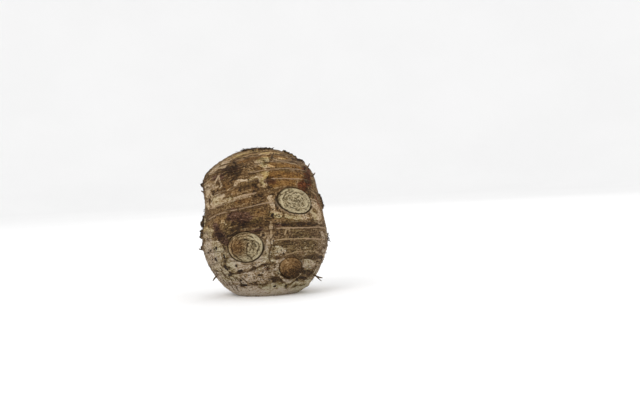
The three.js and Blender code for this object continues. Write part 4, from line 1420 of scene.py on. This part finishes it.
class TaroLook(bpy.types.PropertyGroup):
    """Colours of the corm, its scars and its fibres."""

    soil: tint("Soil", "Dried soil and matted fibre", (0.022, 0.012, 0.006))
    # Dark husk also colours the painted shadow under each ring.
    husk_dark: tint("Dark husk", "Husk between its threads", (0.06, 0.032, 0.0125))
    husk: tint("Husk", "Papery leaf-base skin", (0.128, 0.07, 0.0265))
    husk_light: tint("Light husk", "Worn husk and its threads", (0.213, 0.128, 0.055))
    cork: tint("Cork", "Bare skin under the husk", (0.33, 0.232, 0.127))
    cork_pale: tint("Pale cork", "Freshly bared skin", (0.50, 0.39, 0.265))
    gold: tint("Golden husk", "Multiplies fresh husk near the crown", (1.12, 0.95, 0.66))
    plum: tint("Plum husk", "Multiplies purple-stained husk", (0.5, 0.4, 0.58))
    red: tint("Red husk", "Multiplies rust-stained husk", (0.6, 0.28, 0.2))
    grey: tint("Grey", "Multiplies the skin low on the corm", (0.93, 1.0, 1.16))
    olive: tint("Olive", "Multiplies the skin in broad places", (0.84, 0.92, 0.7))
    pore: tint("Pore", "Pores and root traces", (0.024, 0.015, 0.010))
    ring_line: tint("Ring line", "Worn crest of a leaf-scar ring", (0.31, 0.213, 0.128))
    scar_pale: tint("Pale scar", "Palest part of a bud scar", (0.43, 0.36, 0.225))
    scar: tint("Scar", "Disc of a fresh bud scar", (0.29, 0.23, 0.13))
    scar_brown: tint("Brown scar", "Older parts of a scar", (0.16, 0.115, 0.056))
    scar_dark: tint("Dark scar", "Deep parts of a scar", (0.075, 0.052, 0.026))
    scar_warm: tint("Warm scar", "Multiplies an old scar or a bud", (1.06, 0.92, 0.74))
    vessel: tint("Vessels", "Cut vessels in a scar", (0.07, 0.052, 0.027))
    groove: tint("Groove", "Line round a scar", (0.045, 0.027, 0.012))
    lip: tint("Lip", "Raised lip round a scar", (0.37, 0.29, 0.19))
    flesh: tint("Cut flesh", "Dried flesh of the cut", (0.52, 0.42, 0.30))
    flesh_dry: tint("Dry flesh", "Browner places on the cut", (0.36, 0.26, 0.165))
    fibre_dark: tint("Dark fibre", "Old rootlets and fibres", (0.04, 0.024, 0.015))
    fibre_pale: tint("Pale fibre", "Straw-coloured fibres", (0.26, 0.18, 0.1))


class TaroThreads(bpy.types.PropertyGroup):
    """Counts and sizes of the rootlets, fibres and loose husk."""

    fibres: bpy.props.IntProperty(
        name="Fibres", description="Fine fibres that grow from the rings", default=520
    )
    fibre_radius: length("Fibre radius", "At a fibre's foot", 0.00013)
    flakes: bpy.props.IntProperty(
        name="Husk flakes", description="Torn strips of husk along the rings", default=150
    )
    seed: bpy.props.IntProperty(name="Seed", description="Changes the random draw", default=7)


class TaroStage(bpy.types.PropertyGroup):
    """The floor, the lights and the camera."""

    distance: length("Camera distance", "From the corm's axis", 1.0)
    elevation: bpy.props.FloatProperty(
        name="Elevation", description="Camera above the level", subtype="ANGLE",
        unit="ROTATION", default=math.radians(1.8),
    )
    roll: bpy.props.FloatProperty(
        name="Roll", description="Camera turned about its own axis", subtype="ANGLE",
        unit="ROTATION", default=math.radians(-2.9),
    )
    picture: length("Picture width", "What the picture is wide at the corm", 0.448)
    aim_x: length("Aim X", "Middle of the picture, sideways", 0.0412)
    aim_z: length("Aim Z", "Middle of the picture, above the floor", 0.0635)
    key: bpy.props.FloatProperty(name="Key", description="Key light", unit="POWER", default=5.5)
    fill: bpy.props.FloatProperty(name="Fill", description="Fill light", unit="POWER", default=3.5)
    sky: bpy.props.FloatProperty(name="Sky", description="Strength of the white sky", default=0.97)


class TARO_OT_corm_skin(bpy.types.Operator):
    """Grows the skin on a grid that follows the rings, closed over the cut and the tip"""

    bl_idname = "taro.corm_skin"
    bl_label = "Corm Skin"

    def execute(self, context):
        shape = context.scene.taro_shape
        skin = Skin(shape)
        columns = shape.columns
        turn = np.linspace(0, 2 * np.pi, columns, endpoint=False)
        ways = self.rows(skin, shape, turn)
        turns = np.broadcast_to(turn, ways.shape)
        paint = Paint(skin, shape, turns, ways)
        side = skin.point(turns, ways, paint.lift + paint.bed)
        middle = side[0].mean(axis=0)
        shares = np.array(CUT_SHARES)
        cut = middle + (side[0] - middle) * shares[:, None, None]
        cut[..., 2] = CUT_ROUGHNESS * (1 + fractal(cut / (5.0, 5.0, 1.0), 3, 71))
        cut[..., 2] *= smooth_step(1.0, 0.9, shares)[:, None]
        tip = skin.point(np.zeros(1), np.array([skin.length]), TIP_LIFT)
        grid = np.concatenate([cut, side])
        points = np.concatenate([grid.reshape(-1, 3), middle[None], tip])
        faces = closed_grid(len(grid), columns)
        masks = paint.masks(before=len(cut))
        on_cut = np.zeros(len(points))
        on_cut[: len(cut) * columns] = on_cut[-2] = 1.0
        masks["cut"] = on_cut
        masks["scar_at"] = np.full((len(points), 3), FAR_OUT)
        masks["scar_at"][len(cut) * columns : -2] = paint.scar_at.reshape(-1, 3)
        piece = make_mesh("corm_skin", points, *faces, masks, looks()[0])
        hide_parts("corm")
        carry(piece)
        return {"FINISHED"}

    @staticmethod
    def rows(skin, shape, turn):
        """Ways up the skin, one row after another: close rows on each ring's crest, and
        even rows between the rings, so that every row keeps its place between them."""
        crests = skin.crests(turn)
        top_band = len(crests) - 2
        rows = [crests[0], crests[0] + RIM_ROW]
        for band in range(len(crests) - 1):
            low, high = crests[band], crests[band + 1]
            start = low + (CREST_GAP if band else RIM_GAP)
            end = high - (CREST_GAP if band < top_band else TIP_GAP)
            if band:
                rows += [low, low + CREST_ROW]
            count = int(np.median(end - start) / (shape.row_gap / MM)) + 1
            rows += [start + (end - start) * s for s in np.linspace(0, 1, count + 1)]
            if band < top_band:
                rows += [high - CREST_ROW]
        return np.stack(rows)


class TARO_OT_bud_scars(bpy.types.Operator):
    """Lays a round patch for every bud scar over the bed in the skin: disc, groove and lip"""

    bl_idname = "taro.bud_scars"
    bl_label = "Bud Scars"

    def execute(self, context):
        shape = context.scene.taro_shape
        skin = Skin(shape)
        disc, edge = np.linspace(0.03, 0.86, 26), np.linspace(0.88, 1.2, 26)
        out = np.concatenate([disc, edge, [1.25, 1.3]])
        for number, scar in enumerate(SCARS):
            self.patch(skin, shape, scar, number, out)
        return {"FINISHED"}

    def patch(self, skin, shape, scar, number, out):
        """Rings of points round the scar's middle, at x = share cos a and y = share sin a
        times a slow noise, lifted off the skin and closed by a point under it."""
        angle = np.linspace(0, 2 * np.pi, SCAR_COLUMNS, endpoint=False)
        share = out[:, None] + 0.0 * angle
        round_way = [np.cos(angle) * 1.6, np.sin(angle) * 1.6, angle * 0 + number * 5.3]
        wave = 1 + SCAR_WAVE * noise(np.stack(round_way, axis=-1), 81)
        x = share * np.cos(angle) * wave
        y = share * np.sin(angle) * wave
        turn, way = skin.from_scar(scar, x, y)
        paint = Paint(skin, shape, turn, way)
        lift = self.lift(scar, x, y, share, number)
        rim_relief = smooth_step(1.0, 1.12, share)
        top = skin.point(turn, way, lift + paint.lift * rim_relief)
        under = skin.point(turn[-1:], way[-1:], SCAR_UNDERSIDE)
        grid = np.concatenate([top, under])
        middle = np.zeros(1)
        mid_turn, mid_way = skin.from_scar(scar, middle, middle)
        peak = skin.point(mid_turn, mid_way, lift[0].mean())
        root = skin.point(mid_turn, mid_way, SCAR_UNDERSIDE)
        points = np.concatenate([grid.reshape(-1, 3), peak, root])
        faces = closed_grid(len(grid), SCAR_COLUMNS, flipped=True)
        masks = paint.masks(after=1)
        at = scar_place(x, y, number)
        centre = scar_place(middle, middle, number)
        underside = np.full((1, 3), FAR_OUT)
        masks["scar_at"] = np.concatenate([at.reshape(-1, 3), at[-1], centre, underside])
        masks["cut"] = np.zeros(len(points))
        carry(make_mesh(f"bud_scar_{number + 1}", points, *faces, masks, looks()[0]))

    @staticmethod
    def lift(scar, x, y, share, number):
        """The section interpolated over the share, plus a dome of (1 - share^2)^0.8 inside
        the groove, fine concentric ridges sin(46 share), small lumps and, on a scar that is
        no bud, a sunken step along a circle of 0.42."""
        base = np.interp(share, *np.array(SCAR_SECTION).T)
        inside = 1 - smooth_step(0.84, 0.93, share)
        dome_height = scar[5]
        dome = dome_height * np.clip(1 - share**2, 0, 1) ** 0.8
        at = np.stack([x * 5, y * 5, np.full_like(x, number * 7.1)], axis=-1)
        ridges = 0.11 * np.sin(46 * share + 2.5 * noise(at * 0.5, 91))
        lumps = 0.2 * fractal(at, 3, 92)
        crescent = np.hypot(x - 0.12, y + 0.02)
        step = -0.35 * np.exp(-(((crescent - 0.42) / 0.05) ** 2)) * (x > -0.1)
        return base + inside * (dome + ridges + lumps + step * (dome_height < BUD_DOME))


def tubes(paths, radii, sides, tones, name, material):
    """Tapered tubes along many paths at once: paths is (count, steps, 3), radii and tones
    are (count, steps). Each ring is radius (cos a N + sin a B) round the path, with N and B
    square to its direction, and each tube closes on a point at both its ends."""
    count, steps = paths.shape[:2]
    along = np.gradient(paths, axis=1)
    along /= np.linalg.norm(along, axis=-1, keepdims=True) + 1e-9
    guide = np.where(np.abs(along[:, :1, 2:]) > 0.8, (1.0, 0.0, 0.0), (0.0, 0.0, 1.0))
    first = np.cross(along, guide)
    first /= np.linalg.norm(first, axis=-1, keepdims=True) + 1e-9
    second = np.cross(along, first)
    angle = np.linspace(0, 2 * np.pi, sides, endpoint=False)
    ring = np.cos(angle)[:, None] * first[:, :, None]
    ring = ring + np.sin(angle)[:, None] * second[:, :, None]
    body = paths[:, :, None] + ring * radii[:, :, None, None]
    ends = np.stack([paths[:, 0], paths[:, -1] + along[:, -1] * radii[:, -1:]], axis=1)
    points = np.concatenate([body.reshape(count, -1, 3), ends], axis=1).reshape(-1, 3)
    faces = closed_grid(steps, sides, count)
    tone = np.concatenate([np.repeat(tones, sides, axis=1), tones[:, [0, -1]]], axis=1)
    return make_mesh(name, points, *faces, {"tone": tone.ravel()}, material)


def bent_paths(foot, out, side, up, length, sweep, lift, sunk, steps):
    """Quadratic curves from under the skin, out along its normal, to a tip that is moved
    sideways and up: (1-t)^2 A + 2t(1-t) B + t^2 C."""
    t = np.linspace(0, 1, steps)[None, :, None]
    start = foot - out * sunk
    bend = foot + out * length[:, None] * 0.5
    tip = foot + out * length[:, None] + side * sweep[:, None] + up * lift[:, None]
    path = (1 - t) ** 2 * start[:, None] + 2 * t * (1 - t) * bend[:, None]
    return path + t**2 * tip[:, None]


def directions(skin, turn, way):
    """The skin's point, its outward normal, the sideways direction and the way up."""
    foot = skin.point(turn, way)
    out = skin.point(turn, way, 1.0) - foot
    out /= np.linalg.norm(out, axis=-1, keepdims=True)
    up = skin.point(turn, np.minimum(way + 0.5, skin.length)) - foot
    up /= np.linalg.norm(up, axis=-1, keepdims=True)
    side = np.cross(up, out)
    return foot, out, side, up


class TARO_OT_rootlets(bpy.types.Operator):
    """Grows the dried rootlet stubs, one of them forked, from the skin"""

    bl_idname = "taro.rootlets"
    bl_label = "Rootlets"

    def execute(self, context):
        skin = Skin(context.scene.taro_shape)
        turn, height, length, sweep, lift = np.array(ROOTLETS).T
        turn = np.radians(turn)
        foot, out, side, _ = directions(skin, turn, skin.way_at(height))
        up = np.broadcast_to([0.0, 0.0, 1.0], foot.shape)
        share = np.linspace(0, 1, 12)
        paths = bent_paths(foot, out, side, up, length, sweep, lift, ROOTLET_SUNK, len(share))
        knots = noise(paths / 1.6, 101)[..., None]
        paths = paths + 0.18 * knots * share[None, :, None]
        radii = ROOTLET_FOOT - ROOTLET_TAPER * share + 0.1 * noise(paths / 0.8, 102)
        tone = 0.12 + 0.25 * share[None] + 0.15 * noise(paths / 2.0, 103)
        carry(tubes(paths, radii, 9, tone, "rootlets", looks()[1]))
        root, rest = paths[:1, FORK_AT : FORK_AT + 1], paths[:1, FORK_AT:]
        steps = rest.shape[1]
        bend = np.linspace(0, 1, steps)[None, :, None] * np.array(FORK_BEND)
        fork = root + (rest - root) * 0.8 + bend
        fork_radii = np.linspace(0.5, 0.22, steps)[None]
        fork_tone = np.full((1, steps), 0.3)
        carry(tubes(fork, fork_radii, 8, fork_tone, "rootlet_fork", looks()[1]))
        return {"FINISHED"}


class TARO_OT_fibres(bpy.types.Operator):
    """Scatters fine dry fibres along the rings, and thicker tufts where leaf bases rotted"""

    bl_idname = "taro.fibres"
    bl_label = "Fibres"

    def execute(self, context):
        threads = context.scene.taro_threads
        skin = Skin(context.scene.taro_shape)
        rng = np.random.default_rng(threads.seed)
        count = threads.fibres
        turn = rng.uniform(-np.pi, np.pi, count)
        ring = rng.integers(0, len(RINGS), count)
        crests = skin.crests(turn)
        way = crests[ring + 1, np.arange(count)] + rng.normal(0, 0.5, count)
        reach = rng.uniform(1.2, 4.2, count)
        free = skin.off_scars(turn, way) > FIBRES_CLEAR
        places = (turn[free], way[free], reach[free])
        self.grow(skin, rng, threads, *places, "fibres", 0.35, 1.0)
        turns, ways, reaches = [], [], []
        for turn0, height, wide, tall, number, longest in TUFTS:
            turns.append(np.radians(turn0 + wide * rng.normal(0, 0.5, number)))
            heights = np.clip(height + tall * rng.normal(0, 0.5, number), 2, 101.9)
            ways.append(skin.way_at(heights))
            reaches.append(longest * rng.uniform(0.4, 1.0, number))
        places = (np.concatenate(parts) for parts in (turns, ways, reaches))
        self.grow(skin, rng, threads, *places, "fibre_tufts", 0.7, 2.2)
        return {"FINISHED"}

    def grow(self, skin, rng, threads, turn, way, reach, name, stand, thickness):
        """Each fibre starts in the skin, leans over and runs along it: foot + t reach flat
        + t^2 reach curl, off the skin by 0.35 + rise reach t (1.6 - t) - 1.1 (1 - t)^4."""
        count = len(turn)
        foot, out, side, up = directions(skin, turn, way)
        steps = 6
        heading = rng.uniform(0, 2 * np.pi, count)
        flat = np.cos(heading)[:, None] * side + np.sin(heading)[:, None] * up * 0.7
        t = np.linspace(0, 1, steps)[None, :, None]
        rise = stand * rng.uniform(0.3, 1.3, count)[:, None, None]
        curl = rng.normal(0, 0.35, (count, 1, 1)) * np.cross(out, flat)[:, None]
        reach = reach[:, None, None]
        stand_off = 0.35 + rise * reach * t * (1.6 - t) - 1.1 * (1 - t) ** 4
        paths = foot[:, None] + flat[:, None] * t * reach + curl * t**2 * reach
        paths = paths + out[:, None] * stand_off
        paths = paths + 0.22 * t * np.stack([noise(paths / 1.4, 110 + k) for k in range(3)], -1)
        thick = rng.uniform(0.6, 1.5, count)[:, None] * thickness * threads.fibre_radius / MM
        radii = thick * np.linspace(1, 0.35, steps)[None]
        tone = 0.5 * rng.uniform(0, 1, count)[:, None] ** (2.4 * thickness) + 0.0 * radii
        carry(tubes(paths, radii, 4, tone, name, looks()[1]))


class TARO_OT_husk_flakes(bpy.types.Operator):
    """Adds torn strips of husk that curl away from the rings"""

    bl_idname = "taro.husk_flakes"
    bl_label = "Husk Flakes"

    def execute(self, context):
        # A strip runs along its ring by u, from -1 to 1, and up from it by v, from 0 to 1. It
        # tapers as (1 - 0.97 |u|^3)^0.5, and its lift off the skin grows as v^2.
        threads = context.scene.taro_threads
        skin = Skin(context.scene.taro_shape)
        rng = np.random.default_rng(threads.seed + 1)
        count, steps, rows = threads.flakes, 10, 4
        turn0 = rng.uniform(-np.pi, np.pi, count)
        ring = rng.integers(4, len(RINGS) - 1, count)
        low = skin.crests(turn0)[ring + 1, np.arange(count)]
        free = skin.off_scars(turn0, low) > FLAKES_CLEAR
        turn0, ring, low = turn0[free], ring[free], low[free]
        count = len(turn0)
        half = rng.uniform(2.5, 8.0, count)
        tall = rng.uniform(0.8, 2.2, count)
        curl = rng.uniform(0.25, 1.0, count)
        u = np.linspace(-1, 1, steps)[None, :, None]
        v = np.linspace(0, 1, rows)[None, None, :]
        r = skin.radius(low)
        turn = turn0[:, None, None] + u * (half / r)[:, None, None]
        way0 = np.stack([skin.ring_way(k, turn[i, :, 0]) for i, k in enumerate(ring)])
        taper = (1 - 0.97 * np.abs(u) ** 3) ** 0.5
        along_ring = [turn * 16, turn * 0, ring[:, None, None] + turn * 0]
        tear = 0.7 + 0.3 * noise(np.stack(along_ring, axis=-1), 121)
        way = way0[..., None] - 0.4 + v * tall[:, None, None] * taper * tear
        lift = 0.35 + curl[:, None, None] * v**2 * taper * tear
        turn, way, lift = np.broadcast_arrays(turn, way, lift)
        centre = skin.point(turn, way, lift)
        outer = skin.point(turn, way, lift + HALF_FLAKE)
        inner = skin.point(turn, way, lift - HALF_FLAKE - FLAKE_ROOT * (v == 0))
        shell = np.concatenate([outer, inner[:, :, ::-1]], axis=2)
        ends = centre[:, [0, -1], 2]
        points = np.concatenate([shell.reshape(count, -1, 3), ends], axis=1).reshape(-1, 3)
        faces = closed_grid(steps, 2 * rows, count, flipped=True)
        tone = np.broadcast_to(np.concatenate([v, v[:, :, ::-1]], axis=2), shell.shape[:3])
        tone = np.concatenate([tone.reshape(count, -1), np.zeros((count, 2))], axis=1)
        rise = np.broadcast_to(low[:, None] * MM, tone.shape)
        masks = {"tone": tone.ravel(), "rise": rise.ravel()}
        carry(make_mesh("husk_flakes", points, *faces, masks, looks()[2]))
        return {"FINISHED"}


class TARO_OT_stage(bpy.types.Operator):
    """Sets a plain pale floor that curves up far away, soft lights and the camera"""

    bl_idname = "taro.stage"
    bl_label = "Stage"

    def execute(self, context):
        stage = context.scene.taro_stage
        self.floor()
        self.lights(context, stage)
        self.camera(context, stage)
        return {"FINISHED"}

    @staticmethod
    def floor():
        """A bowl of revolution: flat to FLOOR_FLAT, then a quarter circle of FLOOR_BEND up
        to its rim."""
        columns = 96
        angle = np.linspace(0, 2 * np.pi, columns, endpoint=False)
        bend = np.linspace(0, np.pi / 2, 14)
        r = np.concatenate([[0.3, 0.8, 1.5], FLOOR_FLAT + FLOOR_BEND * np.sin(bend)])
        z = np.concatenate([[0, 0, 0], FLOOR_BEND - FLOOR_BEND * np.cos(bend)])
        x, y = r[:, None] * np.cos(angle), r[:, None] * np.sin(angle)
        grid = np.stack([x, y, z[:, None] + 0 * angle], axis=-1)
        points = np.concatenate([grid.reshape(-1, 3), [[0.0, 0.0, 0.0]]]) / MM
        quads = grid_quads(len(r), columns)[:, ::-1]
        triangles = fan(len(r) * columns, 0, columns, False)
        w, surface, material = new_surface("studio_floor", 0.1)
        paper = w.between(w.noise(w.place(), 3.0, 2), 0.3, 0.7)
        w.feed(surface["Base Color"], w.mix(paper, (0.93, 0.93, 0.93), (0.95, 0.95, 0.95)))
        w.feed(surface["Roughness"], 0.9)
        piece = make_mesh("studio_floor", points, quads, triangles, {}, material)

    @staticmethod
    def lights(context, stage):
        """Soft area lights aimed at the corm, under a plain white sky."""
        powers = {"key": stage.key, "fill": stage.fill, "back": stage.fill * 0.8}
        for name, (place, size) in LIGHTS.items():
            light = bpy.data.lights.new(name, "AREA")
            light.size = size
            light.energy = powers[name]
            lamp = bpy.data.objects.new(name, light)
            lamp.location = place
            x, y, z = -np.array(place) + (0, 0, LIGHT_AIM)
            tilt = math.atan2(math.hypot(x, y), -z)
            lamp.rotation_euler = (tilt, 0.0, math.atan2(-x, y))
            context.scene.collection.objects.link(lamp)
        world = bpy.data.worlds.new("white_sky")
        world.use_nodes = True
        sky = world.node_tree.nodes["Background"]
        sky.inputs["Color"].default_value = (1, 1, 1, 1)
        sky.inputs["Strength"].default_value = stage.sky
        context.scene.world = world
        context.scene.view_settings.view_transform = "Standard"

    @staticmethod
    def camera(context, stage):
        """The lens is sensor width times distance over picture width. The camera looks
        along +Y from beside the corm, so the corm stands left of the middle without any
        shift."""
        data = bpy.data.cameras.new("camera")
        data.sensor_width = SENSOR
        data.lens = SENSOR * stage.distance / stage.picture
        data.clip_start = 0.02
        data.clip_end = 20.0
        view = bpy.data.objects.new("camera", data)
        up = stage.elevation
        back, rise = stage.distance * math.cos(up), stage.distance * math.sin(up)
        view.location = (stage.aim_x, -back, stage.aim_z + rise)
        view.rotation_mode = "ZXY"
        view.rotation_euler = (math.pi / 2 - up, 0.0, stage.roll)
        context.scene.collection.objects.link(view)
        context.scene.camera = view


class TARO_PT_panel(bpy.types.Panel):
    """Lists the corm's pieces and its stage"""

    bl_idname = "TARO_PT_panel"
    bl_label = "Taro Corm"
    bl_space_type = "VIEW_3D"
    bl_region_type = "UI"
    bl_category = "Taro"

    def draw(self, context):
        for piece in PIECES:
            self.layout.operator(piece.bl_idname)


PIECES = (
    TARO_OT_corm_skin,
    TARO_OT_bud_scars,
    TARO_OT_rootlets,
    TARO_OT_fibres,
    TARO_OT_husk_flakes,
    TARO_OT_stage,
)
SETTINGS = (
    ("taro_shape", TaroShape),
    ("taro_look", TaroLook),
    ("taro_threads", TaroThreads),
    ("taro_stage", TaroStage),
)


def register():
    for name, group in SETTINGS:
        bpy.utils.register_class(group)
        setattr(bpy.types.Scene, name, bpy.props.PointerProperty(type=group))
    for piece in (*PIECES, TARO_PT_panel):
        bpy.utils.register_class(piece)


def unregister():
    for piece in (TARO_PT_panel, *PIECES):
        bpy.utils.unregister_class(piece)
    for name, group in SETTINGS:
        delattr(bpy.types.Scene, name)
        bpy.utils.unregister_class(group)


def main():
    register()
    bpy.ops.taro.corm_skin()
    bpy.ops.taro.bud_scars()
    bpy.ops.taro.rootlets()
    bpy.ops.taro.fibres()
    bpy.ops.taro.husk_flakes()
    bpy.ops.taro.stage()
    bpy.context.view_layer.update()


if __name__ == "__main__":
    main()
